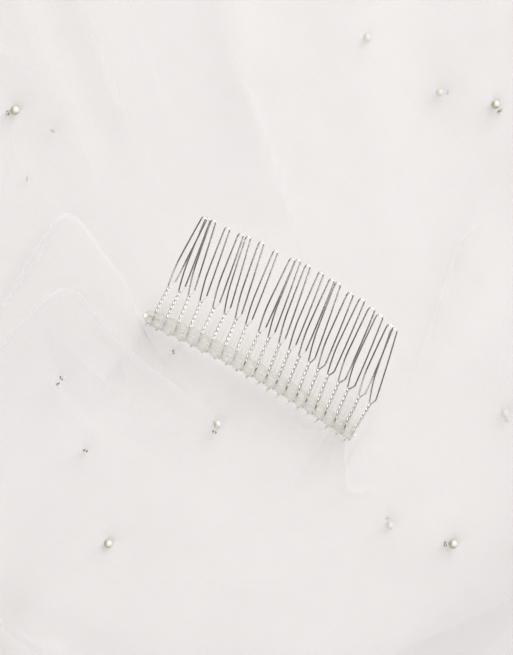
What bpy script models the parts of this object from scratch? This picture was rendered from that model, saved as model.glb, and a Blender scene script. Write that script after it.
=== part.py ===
"""A one-tier bridal veil of sheer tulle on a wire comb, dropped in a soft low heap with the comb on top.

The panel lies in many layers. Those that are hidden share one rounded solid with layered edges. The
stretches that show lie on it as walls of their own, each a small gap above what carries it. Plan
positions are in millimetres from the middle of the comb's surroundings; +X is right, +Y is away.
"""

from math import cos, degrees, pi, radians, sin, tau

import bmesh
import bpy
import numpy as np
from mathutils import Vector
from mathutils.bvhtree import BVHTree

MM = 0.001
GAP = 0.3  # clear space between a piece and what carries it
WALL = 1.5  # cloth thickness, measured upright
SHARP_ANGLE = 50.0  # edges bent by more than this many degrees are shaded sharp

# ---------------------------------------------------------------- the heap
HEAP_MIDDLE = np.array([-40.0, 45.0])
SPOKES = 76  # points round each ring of the heap
HEAP_REACH = (  # bearing from the heap's middle in degrees, reach of its lowest layer, how far layers step
    (0, 226, 0.62), (20, 234, 0.90), (44, 284, 1.00), (66, 242, 1.00), (90, 274, 1.00), (114, 236, 0.95),
    (138, 270, 1.00), (161, 230, 1.00), (184, 250, 1.00), (208, 282, 0.95), (231, 236, 0.80), (254, 226, 0.58),
    (277, 216, 0.48), (294, 220, 0.46), (309, 226, 0.48), (324, 218, 0.48), (340, 222, 0.52),
)
REACH_RIPPLES = ((11, 2.6, 0.4), (17, 1.8, 2.1))  # waves round the heap, depth, phase

LAYERS = (  # share of the reach at the layer's rim, wander of that share, waves, phase, top height
    (1.000, 0.000, 5, 0.0, 5.2),
    (0.880, 0.045, 5, 1.3, 10.0),
    (0.765, 0.055, 5, 1.8, 14.4),
)
LIP = (  # steps over one layer's rounded rim: share of its height, inset
    (0.16, 0.0),
    (0.70, 0.5),
    (0.95, 3.0),
    (1.00, 10.0),
)
TOP_SHARE = 0.650  # share of the reach that the uppermost stretch covers
TOP_WANDER = 0.060  # wander of that share
TOP_WAVES = ((5, 1.6), (9, 2.6))  # waves round its edge, phase
TOP_RINGS = 12
EDGE_LEVEL = 15.2  # the heap's height under the uppermost stretch's edge
CROWN_LEVEL = 18.5  # and at its middle
CROWN_FLATNESS = 4  # the higher, the flatter the heap's top

FLUTES = (  # bearing at the rim, half width, sweep towards the middle, all in degrees, and height
    (12, 7, -14, 10.0), (31, 9, -22, 16.0), (50, 7, -16, 11.0), (68, 8, 14, 18.0), (85, 6, 20, 10.0),
    (102, 8, 24, 19.0), (120, 6, 12, 12.0), (137, 9, -12, 17.0), (158, 7, -20, 12.0), (176, 8, -26, 18.0),
    (196, 6, -12, 11.0), (213, 9, 10, 16.0), (232, 7, 18, 10.0), (249, 8, 22, 8.0), (268, 7, 12, 3.5),
    (287, 8, -8, 2.2), (318, 8, -12, 2.4), (342, 8, -16, 5.0),
)
FLUTE_START = 0.42  # share of the reach at which the flutes rise from nothing
FLUTE_FULL = 0.84  # and at which they stand highest
FLUTE_EDGE = 0.10  # share of the reach over which they sink to the rim

FOLDS = (  # start, bend and end of the crest, height, width on its left and on its right
    ((-104, 176), (-84, 96), (-50, 44), 6.0, 9, 15),
    ((-72, 186), (-66, 104), (-35, 47), 5.0, 12, 8),
    ((-26, 190), (-16, 110), (12, 42), 5.0, 14, 9),
    ((-8, 126), (-8, 66), (15, 27), 3.6, 6, 13),
    ((44, 184), (26, 120), (38, 60), 6.0, 13, 17),
    ((-128, 92), (-96, 74), (-80, 30), 4.0, 10, 8),
    ((-62, 10), (-38, -14), (-2, -44), 2.6, 9, 6),
    ((-84, -4), (-62, -46), (-2, -78), 3.4, 8, 12),
    ((-128, -36), (-92, -92), (-20, -112), 5.0, 12, 14),
    ((46, -34), (60, 12), (108, 84), 4.4, 8, 14),
    ((66, -54), (84, -10), (122, 32), 4.4, 9, 15),
    ((66, 14), (66, 44), (104, 52), 2.6, 6, 9),
    ((78, 150), (84, 100), (66, 66), 5.0, 13, 16),
    ((-172, 96), (-150, 52), (-162, 4), 6.0, 14, 17),
    ((-20, -92), (22, -96), (62, -62), 3.2, 12, 9),
)
FOLD_TAPER = 0.22  # share of a fold's length over which it rises from nothing
CREST_POINTS = 40

# ---------------------------------------------------------------- the comb
COMB_MIDDLE = np.array([-1.5, -15.9])
COMB_BEARING = -28.9  # bearing of the bar, degrees
BAR_LENGTH = 82.0
BAR_RADIUS = 0.6
BAR_BOW = 2.4  # the bar's middle lies this far towards the teeth from its ends
BAR_SET = -0.7  # and its ends this far towards the head
BAR_ARCH = 2.6  # its middle stands this far above its ends
BAR_DROOP = -0.017  # slope of the bar across its length
BAR_SIDES = 6
BAR_STEPS = 14
BAR_END = ((0.0, 0.55), (0.15, 0.9))  # the bar's round end: distance from it, share of the radius
TIP_REACH = 42.0  # the longest teeth end this far across from the bar
COMB_PRESS = 14.0  # the folds rise again over this distance from the comb
BINDING_END = 39.6  # the binding stops this far from the bar's middle
BORE_RADIUS = BAR_RADIUS + GAP
BINDING_SIDES = 8
PINCH = (2.3, 1.95)  # half width and half height of the binding at a tooth
PUFF = (2.9, 2.45)  # and between two teeth

WIRE_RADIUS = 0.38
TEETH = (  # place of the root, fork and tip along the bar, height of the tip over it, widest loop
    (-38.9, -39.3, -40.0, 39.4, 2.5),
    (-34.7, -35.2, -38.9, 39.8, 2.4),
    (-30.4, -31.6, -36.9, 40.0, 2.4),
    (-26.0, -27.2, -31.5, 40.1, 2.5),
    (-21.7, -22.3, -26.4, 40.5, 2.6),
    (-17.4, -17.9, -23.8, 40.9, 2.4),
    (-12.6, -13.7, -18.9, 41.4, 2.5),
    (-8.2, -9.7, -13.2, 41.1, 2.3),
    (-4.1, -4.7, -6.8, 41.6, 2.7),
    (0.2, -0.9, -5.0, 42.2, 2.5),
    (4.6, 3.3, -1.2, 42.2, 2.5),
    (8.5, 7.3, 4.0, 42.3, 2.6),
    (12.4, 11.2, 8.4, 41.9, 2.6),
    (16.7, 15.2, 10.8, 41.9, 2.7),
    (20.4, 19.0, 16.2, 41.0, 3.0),
    (24.3, 22.9, 20.7, 41.0, 2.8),
    (28.2, 27.3, 25.1, 40.0, 3.2),
    (32.2, 31.2, 28.7, 39.3, 3.4),
    (36.3, 35.8, 33.4, 37.9, 3.1),
    (39.8, 40.3, 35.2, 37.5, 3.0),
)
STEM_LENGTH = 8.8
STEM_SECTIONS = 3
STEM_TURN = 50.0  # turn of the twisted stem between two of its sections, degrees
STEM_SHARE = 0.22  # share of a tooth's length that the stem takes
STEM_PAIR = 0.95  # each wire's distance from the stem's middle, in wire radii
STEM_WAIST = 0.62  # half height of the stem between its two wires, in wire radii
LEG_CORNERS = (36, 108, 180, -108, -36)  # bearings of a leg's corners; the first and last face the other leg
LEG_STEPS = 5
TIP_STEPS = 3
TIP_ROUNDNESS = 0.36  # radius of the round tip as a share of the loop's width
LOOP_OPENING = 0.31  # share of a leg over which the loop opens from the fork
LOOP_NARROWING = 0.28  # share of its width that it has lost at the tip
TOOTH_RISE = 1.0  # a tooth's middle stands this far above the line from root to tip
TIP_DROP = 0.6  # its tip ends this far below the bar
TOOTH_STAGGER = 1.15  # every second tooth is bent up by this, so that loops cross clear of each other
STAGGER_RAMP = 0.38  # share of a tooth's length over which it is bent up

# ---------------------------------------------------------------- panels that lie on the heap
PANELS = (  # name, far edge, near edge, rows, height of the raised far edge, width of that rise
    (
        "left_flap",
        ((-136, -23), (-108, -12), (-88, 7), (-75, 28), (-64, 39), (-51, 24), (-43, 12), (-40, 0)),
        ((-146, -50), (-130, -69), (-110, -80), (-88, -80), (-66, -70), (-46, -56), (-28, -46), (-12, -36)),
        8, 2.0, 0.24,
    ),
    (
        "left_inner_flap",
        ((-92, -16), (-84, -2), (-77, 5), (-68, 13), (-61, 12.5), (-54, 4), (-48, -4)),
        ((-98, -30), (-88, -36), (-78, -38), (-68, -36), (-58, -31), (-50, -26), (-44, -19)),
        4, 1.2, 0.34,
    ),
    (
        "side_fold",
        ((140, 176), (132, 136), (130, 98), (134, 60), (138, 24), (136, -12), (128, -42)),
        ((141, 178), (160, 146), (171, 104), (174, 62), (170, 22), (158, -14), (130, -43)),
        6, 6.0, 0.45,
    ),
    (
        "back_fold",
        ((-196, 150), (-152, 182), (-112, 204), (-66, 214), (-20, 212), (26, 204), (72, 196)),
        ((-197, 152), (-168, 214), (-122, 250), (-68, 268), (-14, 264), (34, 238), (73, 198)),
        6, 5.0, 0.45,
    ),
    (
        "front_fold",
        ((-232, -10), (-196, -44), (-164, -74), (-128, -100), (-86, -118), (-44, -128), (-4, -138)),
        ((-233, -12), (-218, -74), (-180, -116), (-134, -142), (-86, -154), (-42, -154), (-4, -140)),
        6, 4.0, 0.45,
    ),
)
PANEL_COLUMNS = 3  # grid columns for each point of an edge
PANEL_GAP = 0.4  # a laid panel's least clear space
PANEL_END = 0.25  # share of its length over which a panel's raised edge sinks at either end
PANEL_ROW_EASE = 1.25  # rows lie closer together at the far edge
PANEL_REACH = 0.72  # share of a grid cell round a point over which the height below is read
PROBE_TURNS = 10  # directions in which the height under a panel is read
PROBE_HEIGHT = 200.0
CELL_PROBES = 4  # places each way in a grid cell where a panel's clear space is read
CORNER_FAR = ((29.6, -36), (34, -27), (39, -18), (45, -12))
CORNER_NEAR = ((31, -56), (34, -57), (38, -56), (43, -53.5))
CORNER_ROWS = 10
CORNER_COLUMNS = 9
CORNER_REACH = 0.75

HEAD_PLEATS = 20
HEAD_DEPTHS = (0.0, 3.5, 8.0, 15.0, 24.0)  # distance of each row from the binding
HEAD_FAN = 0.10  # the head widens by this share over its depth
HEAD_PLEAT_HEIGHT = 1.1
HEAD_SETTLE = 0.62  # share of its depth over which the head comes down to the cloth
HEAD_REACH = 4.0  # how far each way the cloth's height is read round a point
HEAD_LEVEL = 0.4  # height of its first row over the bar's underside

TULLE = ("tulle", (0.86, 0.85, 0.84), 0.85, 0.0)
SHEER_RIBBON = ("sheer_ribbon", (0.78, 0.77, 0.70), 0.6, 0.0)
SILVER_WIRE = ("silver_wire", (0.66, 0.65, 0.63), 0.22, 1.0)


# ---------------------------------------------------------------- Blender helpers
def clear_scene():
    for obj in list(bpy.data.objects):
        bpy.data.objects.remove(obj, do_unlink=True)


def new_material(node_name, finish):
    name, colour, roughness, metallic = finish
    material = bpy.data.materials.new(f"{name}_{node_name}")
    material.use_nodes = True
    shader = material.node_tree.nodes["Principled BSDF"]
    shader.inputs["Base Color"].default_value = (*colour, 1.0)
    shader.inputs["Roughness"].default_value = roughness
    shader.inputs["Metallic"].default_value = metallic
    return material


def add_solid(name, points, faces, finish):
    """One closed body from points in plan millimetres and height in millimetres."""
    mesh = bpy.data.meshes.new(name)
    places = (np.asarray(points, float) - np.array([*origin_in_plan(), 0.0])) * MM
    mesh.from_pydata([tuple(place) for place in places], [], faces)
    body = bmesh.new()
    body.from_mesh(mesh)
    bmesh.ops.triangulate(body, faces=body.faces)
    bmesh.ops.recalc_face_normals(body, faces=body.faces)
    body.to_mesh(mesh)
    body.free()
    mesh.shade_smooth()
    mesh.set_sharp_from_angle(angle=radians(SHARP_ANGLE))
    obj = bpy.data.objects.new(name, mesh)
    obj.data.materials.append(new_material(name, finish))
    bpy.context.collection.objects.link(obj)
    surfaces[name] = BVHTree.FromPolygons([Vector(point) for point in points], faces, epsilon=0.0)


def closed_rings(rings, first_cap, last_cap):
    """Points and faces of rings joined in order, each end closed by a fan round a cap point."""
    count = len(rings[0])
    points = [first_cap]
    for ring in rings:
        points.extend(ring)
    points.append(last_cap)
    faces = []
    for here in range(count):
        after = (here + 1) % count
        faces.append((0, 1 + after, 1 + here))
        for level in range(len(rings) - 1):
            low = 1 + level * count
            high = low + count
            faces.append((low + here, low + after, high + after, high + here))
        last = 1 + (len(rings) - 1) * count
        faces.append((len(points) - 1, last + here, last + after))
    return points, faces


def closed_panel(under, over):
    """Points and faces of a wall between two grids of the same rows and columns."""
    rows, columns = under.shape[:2]
    points = [tuple(p) for p in under.reshape(-1, 3)] + [tuple(p) for p in over.reshape(-1, 3)]
    size = rows * columns
    faces = []
    for row in range(rows - 1):
        for column in range(columns - 1):
            corner = row * columns + column
            loop = (corner, corner + 1, corner + columns + 1, corner + columns)
            faces.append(loop)
            faces.append(tuple(size + index for index in reversed(loop)))
    rim = list(range(columns))
    rim += [row * columns + columns - 1 for row in range(1, rows)]
    rim += [(rows - 1) * columns + column for column in range(columns - 2, -1, -1)]
    rim += [row * columns for row in range(rows - 2, 0, -1)]
    for here, after in zip(rim, rim[1:] + rim[:1]):
        faces.append((here, size + here, size + after, after))
    return points, faces


# ---------------------------------------------------------------- smooth curves
def ease(share):
    share = np.clip(share, 0.0, 1.0)
    return share * share * (3 - 2 * share)


def smooth_path(rows, count):
    """Evenly numbered points on a smooth curve through the rows."""
    knots = np.asarray(rows, float)
    ends = np.vstack([2 * knots[0] - knots[1], knots, 2 * knots[-1] - knots[-2]])
    path = []
    for at in np.linspace(0, len(knots) - 1, count):
        index = min(int(at), len(knots) - 2)
        share = at - index
        before, start, end, beyond = ends[index : index + 4]
        path.append(
            0.5
            * (
                2 * start
                + (end - before) * share
                + (2 * before - 5 * start + 4 * end - beyond) * share**2
                + (3 * start - before - 3 * end + beyond) * share**3
            )
        )
    return np.array(path)


def bent_path(start, bend, end, count):
    """Points on a curve that leaves start towards bend and comes into end from it."""
    share = np.linspace(0, 1, count)[:, None]
    start, bend, end = (np.asarray(point, float) for point in (start, bend, end))
    return (1 - share) ** 2 * start + 2 * share * (1 - share) * bend + share**2 * end


# ---------------------------------------------------------------- the heap's plan and height
def heap_row(bearing):
    """Reach of the lowest layer and step of the layers at a bearing, eased between the table's rows."""
    at = degrees(bearing) % 360
    table = list(HEAP_REACH) + [(360 + HEAP_REACH[0][0], *HEAP_REACH[0][1:])]
    for (start, *low), (end, *high) in zip(table, table[1:]):
        if start <= at <= end:
            share = ease((at - start) / (end - start))
            return [first + (second - first) * share for first, second in zip(low, high)]


def heap_reach(bearing):
    ripples = sum(depth * sin(waves * bearing + phase) for waves, depth, phase in REACH_RIPPLES)
    return heap_row(bearing)[0] + ripples


def layer_spread(bearing):
    return heap_row(bearing)[1]


def flute_height(bearing, share):
    """Height that the flutes of the spread cloth add at a bearing and a share of the reach."""
    growth = float(ease((share - FLUTE_START) / (FLUTE_FULL - FLUTE_START)))
    growth *= float(ease((1 - share) / FLUTE_EDGE))
    total = 0.0
    for rim_bearing, half_width, sweep, height in FLUTES:
        crest = rim_bearing + sweep * (1 - share)
        off = (degrees(bearing) - crest + 180) % 360 - 180
        total += height * float(np.exp(-((off / half_width) ** 2)))
    return total * growth


def plan_point(bearing, distance):
    return HEAP_MIDDLE + distance * np.array([cos(bearing), sin(bearing)])


def origin_in_plan():
    """The middle of the heap's box, which stands on the part's origin."""
    rim = np.array([plan_point(bearing, heap_reach(bearing)) for bearing in BEARINGS])
    return (rim.min(axis=0) + rim.max(axis=0)) / 2


def top_share(bearing):
    waves = sum(sin(count * bearing + phase) for count, phase in TOP_WAVES)
    plain = TOP_SHARE + TOP_WANDER * waves / len(TOP_WAVES)
    return 1 - (1 - plain) * layer_spread(bearing)


def fold_height(x, y):
    """Height that the folds add at a point: the nearest crest point of each counts."""
    total = 0.0
    for start, bend, end, height, left_width, right_width in FOLDS:
        crest = FOLD_CRESTS[start]
        offset = np.array([x, y]) - crest
        nearest = int(np.argmin((offset**2).sum(axis=1)))
        along = nearest / (len(crest) - 1)
        ahead = crest[min(nearest + 1, len(crest) - 1)] - crest[max(nearest - 1, 0)]
        side = ahead[0] * offset[nearest][1] - ahead[1] * offset[nearest][0]
        width = left_width if side > 0 else right_width
        distance = float(np.hypot(*offset[nearest]))
        profile = float(np.exp(-((distance / width) ** 2)))
        taper = ease(along / FOLD_TAPER) * ease((1 - along) / FOLD_TAPER)
        total += height * profile * taper
    return total * comb_rest(x, y)


def comb_rest(x, y):
    """0 where the comb presses the cloth flat, 1 well away from it."""
    along, across = in_comb_frame(x, y)
    beside = max(abs(along) - BAR_LENGTH / 2, 0.0)
    beyond = max(across - TIP_REACH, -PUFF[0] - across, 0.0)
    return float(ease(np.hypot(beside, beyond) / COMB_PRESS))


def heap_level(x, y, share_of_top):
    crown = CROWN_LEVEL - EDGE_LEVEL
    return EDGE_LEVEL + crown * (1 - share_of_top**CROWN_FLATNESS) + fold_height(x, y)


# ---------------------------------------------------------------- the comb's own frame
COMB_ALONG = np.array([cos(radians(COMB_BEARING)), sin(radians(COMB_BEARING))])
COMB_ACROSS = np.array([-COMB_ALONG[1], COMB_ALONG[0]])


def in_comb_frame(x, y):
    offset = np.array([x, y]) - COMB_MIDDLE
    return float(offset @ COMB_ALONG), float(offset @ COMB_ACROSS)


def comb_point(along, across, height):
    plan = COMB_MIDDLE + along * COMB_ALONG + across * COMB_ACROSS
    return np.array([*plan, height])


def bar_across(along):
    return BAR_SET + BAR_BOW * (1 - (2 * along / BAR_LENGTH) ** 2) + BAR_DROOP * along


def bar_height(along):
    return BAR_ARCH * (1 - (2 * along / BAR_LENGTH) ** 2)


# ---------------------------------------------------------------- building
def layer_rims(bearing):
    """Distance and height of every step of the layered edge, from the floor inwards."""
    reach = heap_reach(bearing)
    spread = layer_spread(bearing)
    steps = [(reach, 0.0)]
    floor = 0.0
    for share, wander, waves, phase, top in LAYERS:
        rim = 1 - (1 - share - wander * sin(waves * bearing + phase)) * spread
        for height_share, inset in LIP:
            distance = reach * rim - inset * spread
            flute = flute_height(bearing, distance / reach)
            steps.append((distance, floor + (top - floor) * height_share + flute))
        floor = top
    return steps


def make_under_layers():
    edge_steps = len(layer_rims(0.0))
    rings = []
    for step in range(edge_steps):
        ring = []
        for bearing in BEARINGS:
            distance, height = layer_rims(bearing)[step]
            ring.append((*plan_point(bearing, distance), height))
        rings.append(ring)
    for ring in TOP_GRID:
        rings.append([(x, y, level - GAP) for x, y, level in ring])
    middle = tuple(HEAP_MIDDLE)
    level = heap_level(*middle, 0.0) - GAP
    points, faces = closed_rings(rings, (*middle, 0.0), (*middle, level))
    add_solid("under_layers", points, faces, TULLE)


def make_top_grid():
    """Rings of the uppermost stretch's underside, from its edge inwards."""
    rings = []
    for step in range(TOP_RINGS):
        share = 1 - step / TOP_RINGS
        ring = []
        for bearing in BEARINGS:
            reach_share = share * top_share(bearing)
            x, y = plan_point(bearing, reach_share * heap_reach(bearing))
            ring.append((x, y, heap_level(x, y, share) + flute_height(bearing, reach_share)))
        rings.append(ring)
    return rings


def make_top_fall():
    over = [[(x, y, level + WALL) for x, y, level in ring] for ring in TOP_GRID]
    rings = list(reversed(TOP_GRID)) + over
    middle = tuple(HEAP_MIDDLE)
    level = heap_level(*middle, 0.0)
    points, faces = closed_rings(rings, (*middle, level), (*middle, level + WALL))
    add_solid("top_fall", points, faces, TULLE)


def level_below(x, y, names, clear):
    """Highest point of the named solids within a small distance of a plan point."""
    probes = [(x, y)]
    for reach in (0.5 * clear, clear) if clear else ():
        for turn in range(PROBE_TURNS):
            angle = turn * tau / PROBE_TURNS
            probes.append((x + reach * cos(angle), y + reach * sin(angle)))
    highest = 0.0
    for place in probes:
        for name in names:
            hit = surfaces[name].ray_cast(Vector((*place, PROBE_HEIGHT)), Vector((0, 0, -1)))[0]
            if hit is not None:
                highest = max(highest, hit.z)
    return highest


def lay_panel(name, far_edge, near_edge, rows, columns, rise, rise_width, below, reach_share):
    """A wall laid on what is below it, its far edge lifted into a soft rounded fold."""
    far = smooth_path(far_edge, columns)
    near = smooth_path(near_edge, columns)
    across = np.linspace(0, 1, rows)[:, None, None] ** PANEL_ROW_EASE
    plan = far * (1 - across) + near * across
    row_step = np.abs(np.diff(plan, axis=0, append=plan[-1:])).max(axis=2)
    column_step = np.abs(np.diff(plan, axis=1, append=plan[:, -1:])).max(axis=2)
    under = np.zeros((rows, columns, 3))
    for row in range(rows):
        share = float(across[row, 0, 0])
        crest = rise * float(np.exp(-(((share - 0.5 * rise_width) / rise_width) ** 2)))
        for column in range(columns):
            x, y = plan[row, column]
            around = row_step[max(row - 1, 0) : row + 1, column].max()
            beside = column_step[row, max(column - 1, 0) : column + 1].max()
            clear = reach_share * float(np.hypot(around, beside))
            end_fade = ease(min(column, columns - 1 - column) / (PANEL_END * columns))
            level = level_below(x, y, below, clear) + PANEL_GAP + crest * end_fade
            under[row, column] = (x, y, level)
    under[:, :, 2] -= least_clear_space(under, below) - PANEL_GAP
    over = under + np.array([0.0, 0.0, WALL])
    points, faces = closed_panel(under, over)
    add_solid(name, points, faces, TULLE)


def least_clear_space(under, below):
    """Least height of a grid over what is below it, read at its points and between them."""
    least = PROBE_HEIGHT
    shares = np.linspace(0, 1, CELL_PROBES)
    for row in range(len(under) - 1):
        for column in range(len(under[0]) - 1):
            first, second = under[row, column], under[row, column + 1]
            fourth, third = under[row + 1, column], under[row + 1, column + 1]
            for down in shares:
                for across in shares:
                    near = fourth * (1 - across) + third * across
                    x, y, height = (first * (1 - across) + second * across) * (1 - down) + near * down
                    least = min(least, height - level_below(x, y, below, 0.0))
    return least


def make_binding():
    """A ribbon tube round the bar, pinched at each tooth and puffed between two."""
    places = [-BINDING_END]
    sizes = [PINCH]
    roots = [row[0] for row in TEETH]
    for root, following in zip(roots, roots[1:] + [None]):
        places.append(root)
        sizes.append(PINCH)
        if following is not None:
            places.append((root + following) / 2)
            sizes.append(PUFF)
    places[-1] = BINDING_END
    outer = [binding_ring(place, *size) for place, size in zip(places, sizes)]
    inner_places = np.linspace(-BINDING_END, BINDING_END, BAR_STEPS)
    inner = [binding_ring(place, BORE_RADIUS, BORE_RADIUS) for place in inner_places]
    rings = outer + list(reversed(inner))
    points = [point for ring in rings for point in ring]
    faces = []
    for level in range(len(rings)):
        low = level * BINDING_SIDES
        high = (level + 1) % len(rings) * BINDING_SIDES
        for here in range(BINDING_SIDES):
            after = (here + 1) % BINDING_SIDES
            faces.append((low + here, low + after, high + after, high + here))
    add_solid("binding", points, faces, SHEER_RIBBON)


def binding_ring(along, half_width, half_height):
    ring = []
    for side in range(BINDING_SIDES):
        angle = (side + 0.5) * tau / BINDING_SIDES
        across = bar_across(along) + half_width * cos(angle)
        height = COMB_LEVEL + bar_height(along) + half_height * sin(angle)
        ring.append(tuple(comb_point(along, across, height)))
    return ring


def make_spine_bar():
    half = BAR_LENGTH / 2
    rings = []
    stations = [(-half + step, share) for step, share in BAR_END]
    stations += [(place, 1.0) for place in np.linspace(-half + BAR_RADIUS, half - BAR_RADIUS, BAR_STEPS)]
    stations += [(half - step, share) for step, share in reversed(BAR_END)]
    for along, share in stations:
        ring = []
        for side in range(BAR_SIDES):
            angle = side * tau / BAR_SIDES
            across = bar_across(along) + BAR_RADIUS * share * cos(angle)
            height = COMB_LEVEL + bar_height(along) + BAR_RADIUS * share * sin(angle)
            ring.append(tuple(comb_point(along, across, height)))
        rings.append(ring)
    caps = [
        tuple(comb_point(side * half, bar_across(side * half), COMB_LEVEL + bar_height(side * half)))
        for side in (-1, 1)
    ]
    points, faces = closed_rings(rings, *caps)
    add_solid("spine_bar", points, faces, SILVER_WIRE)


def tooth_height(root, stagger, share):
    """Height of a tooth's wire at a share of its length from the root."""
    drop = (bar_height(root) + TIP_DROP) * share
    bent_up = stagger * float(ease((share - STEM_SHARE) / STAGGER_RAMP))
    return COMB_LEVEL + bar_height(root) - drop + TOOTH_RISE * sin(pi * share) + bent_up


def loop_centres(start, end, loop, height_at):
    """Centre, height and direction to the other leg, all round a hairpin from fork to fork."""
    length = float(np.hypot(*(end - start)))
    ahead = (end - start) / length
    aside = np.array([ahead[1], -ahead[0]])
    tip_radius = TIP_ROUNDNESS * loop
    straight = length - tip_radius - WIRE_RADIUS
    leg = []
    for step in range(1, LEG_STEPS + 1):
        share = step / LEG_STEPS
        widest = loop / 2 * (1 - LOOP_NARROWING * share**2)
        half = WIRE_RADIUS + (widest - WIRE_RADIUS) * float(ease(share / LOOP_OPENING))
        half = half if step < LEG_STEPS else tip_radius
        height = height_at(STEM_SHARE + (1 - STEM_SHARE) * share)
        leg.append((start + ahead * straight * share, half, height))
    centres = [(middle - aside * half, height, aside) for middle, half, height in leg]
    for step in range(1, TIP_STEPS + 1):
        turn = pi * step / (TIP_STEPS + 1)
        outward = -aside * cos(turn) + ahead * sin(turn)
        centres.append((start + ahead * straight + outward * tip_radius, height_at(1.0), -outward))
    centres += [(middle + aside * half, height, -aside) for middle, half, height in reversed(leg)]
    return centres, aside


def stem_section(turn_degrees):
    """The eight corners of two wires side by side, in wire radii, turned about the stem."""
    corners = [(0.0, STEM_WAIST)]
    corners += [(-STEM_PAIR + cos(radians(angle)), sin(radians(angle))) for angle in (108, 180, 252)]
    corners += [(0.0, -STEM_WAIST)]
    corners += [(STEM_PAIR + cos(radians(angle)), sin(radians(angle))) for angle in (288, 0, 72)]
    turn = radians(turn_degrees)
    return [(x * cos(turn) - y * sin(turn), x * sin(turn) + y * cos(turn)) for x, y in corners]


def joined_loops(low, high):
    """Faces between two loops of point numbers."""
    count = len(low)
    return [(low[i], low[(i + 1) % count], high[(i + 1) % count], high[i]) for i in range(count)]


def make_tooth(name, stagger, root, fork, tip, tip_across, loop):
    """A hairpin of one wire: a twisted stem, two legs and a round tip."""
    root_across = bar_across(root) + PINCH[0] + GAP
    foot = np.array([root, root_across])
    start = np.array([fork, root_across + STEM_LENGTH])
    end = np.array([tip, tip_across])
    centres, aside = loop_centres(start, end, loop, lambda share: tooth_height(root, stagger, share))
    points = []

    def add_point(plan, height):
        points.append(tuple(comb_point(*plan, height)))
        return len(points) - 1

    stem = []
    for section in range(STEM_SECTIONS):
        share = section / (STEM_SECTIONS - 1)
        plan = foot * (1 - share) + start * share
        height = tooth_height(root, stagger, STEM_SHARE * share)
        ring = []
        for wide, high in stem_section(STEM_TURN * (section - STEM_SECTIONS + 1)):
            ring.append(add_point(plan + aside * wide * WIRE_RADIUS, height + high * WIRE_RADIUS))
        stem.append(ring)
    legs = []
    for plan, height, inward in centres:
        ring = []
        for angle in LEG_CORNERS:
            turn = radians(angle)
            ring.append(add_point(plan + inward * WIRE_RADIUS * cos(turn), height + WIRE_RADIUS * sin(turn)))
        legs.append(ring)

    faces = [tuple(reversed(stem[0]))]
    for low, high in zip(stem, stem[1:]):
        faces += joined_loops(low, high)
    top, left_top, left, left_bottom, bottom, right_bottom, right, right_top = stem[-1]
    first = [top, left_top, left, left_bottom, bottom]
    last = [top, right_top, right, right_bottom, bottom]
    chain = [first] + legs + [last]
    for low, high in zip(chain, chain[1:]):
        faces += joined_loops(low, high)
    add_solid(name, points, faces, SILVER_WIRE)


def make_gathered_head():
    """Small pleats that spread from the binding and die out on the cloth."""
    columns = 2 * HEAD_PLEATS + 1
    under = np.zeros((len(HEAD_DEPTHS), columns, 3))
    below = ("top_fall",)
    for row, depth in enumerate(HEAD_DEPTHS):
        share = depth / HEAD_DEPTHS[-1]
        for column in range(columns):
            along = BINDING_END * (2 * column / (columns - 1) - 1)
            across = bar_across(along) - PUFF[0] - GAP - depth
            x, y, _ = comb_point(along * (1 + HEAD_FAN * share), across, 0.0)
            pleat = HEAD_PLEAT_HEIGHT * (column % 2) * (1 - share)
            cloth = level_below(x, y, below, HEAD_REACH) + PANEL_GAP
            held = COMB_LEVEL + bar_height(along) - BAR_RADIUS - HEAD_LEVEL
            settle = float(ease(share / HEAD_SETTLE))
            under[row, column] = (x, y, max(cloth, held * (1 - settle) + cloth * settle) + pleat)
    over = under + np.array([0.0, 0.0, WALL])
    points, faces = closed_panel(under, over)
    add_solid("gathered_head", points, faces, TULLE)


clear_scene()
surfaces = {}
BEARINGS = [tau * spoke / SPOKES for spoke in range(SPOKES)]
FOLD_CRESTS = {row[0]: bent_path(*row[:3], CREST_POINTS) for row in FOLDS}
TOP_GRID = make_top_grid()
make_under_layers()
make_top_fall()

cloth_under_comb = max(
    level_below(*comb_point(along, across, 0.0)[:2], ("top_fall",), PUFF[0])
    for along in np.linspace(-BINDING_END, BINDING_END, 9)
    for across in np.linspace(-PUFF[0], TIP_REACH, 7)
)
COMB_LEVEL = cloth_under_comb + GAP + PUFF[1]

make_spine_bar()
make_binding()
for number, row in enumerate(TEETH, 1):
    make_tooth(f"tooth_{number:02d}", TOOTH_STAGGER * (number % 2), *row)
make_gathered_head()

laid = ["under_layers", "top_fall", "gathered_head"]
for name, far_edge, near_edge, rows, rise, rise_width in PANELS:
    columns = PANEL_COLUMNS * (len(far_edge) - 1) + 1
    lay_panel(name, far_edge, near_edge, rows, columns, rise, rise_width, laid, PANEL_REACH)
    laid.append(name)

laid += ["spine_bar", "binding", "tooth_18", "tooth_19", "tooth_20"]
lay_panel("corner_flap", CORNER_FAR, CORNER_NEAR, CORNER_ROWS, CORNER_COLUMNS, 0.0, 1.0, laid, CORNER_REACH)
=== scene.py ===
"""A sheer tulle bridal veil dropped in a soft heap, its wire comb on top, pearls sewn over it.

Plan positions are in millimetres from the middle of the comb's surroundings, as on the cutting table.
"""

from math import cos, pi, radians, sin, tau

import bpy
import numpy as np
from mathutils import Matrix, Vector
from mathutils.bvhtree import BVHTree


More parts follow.
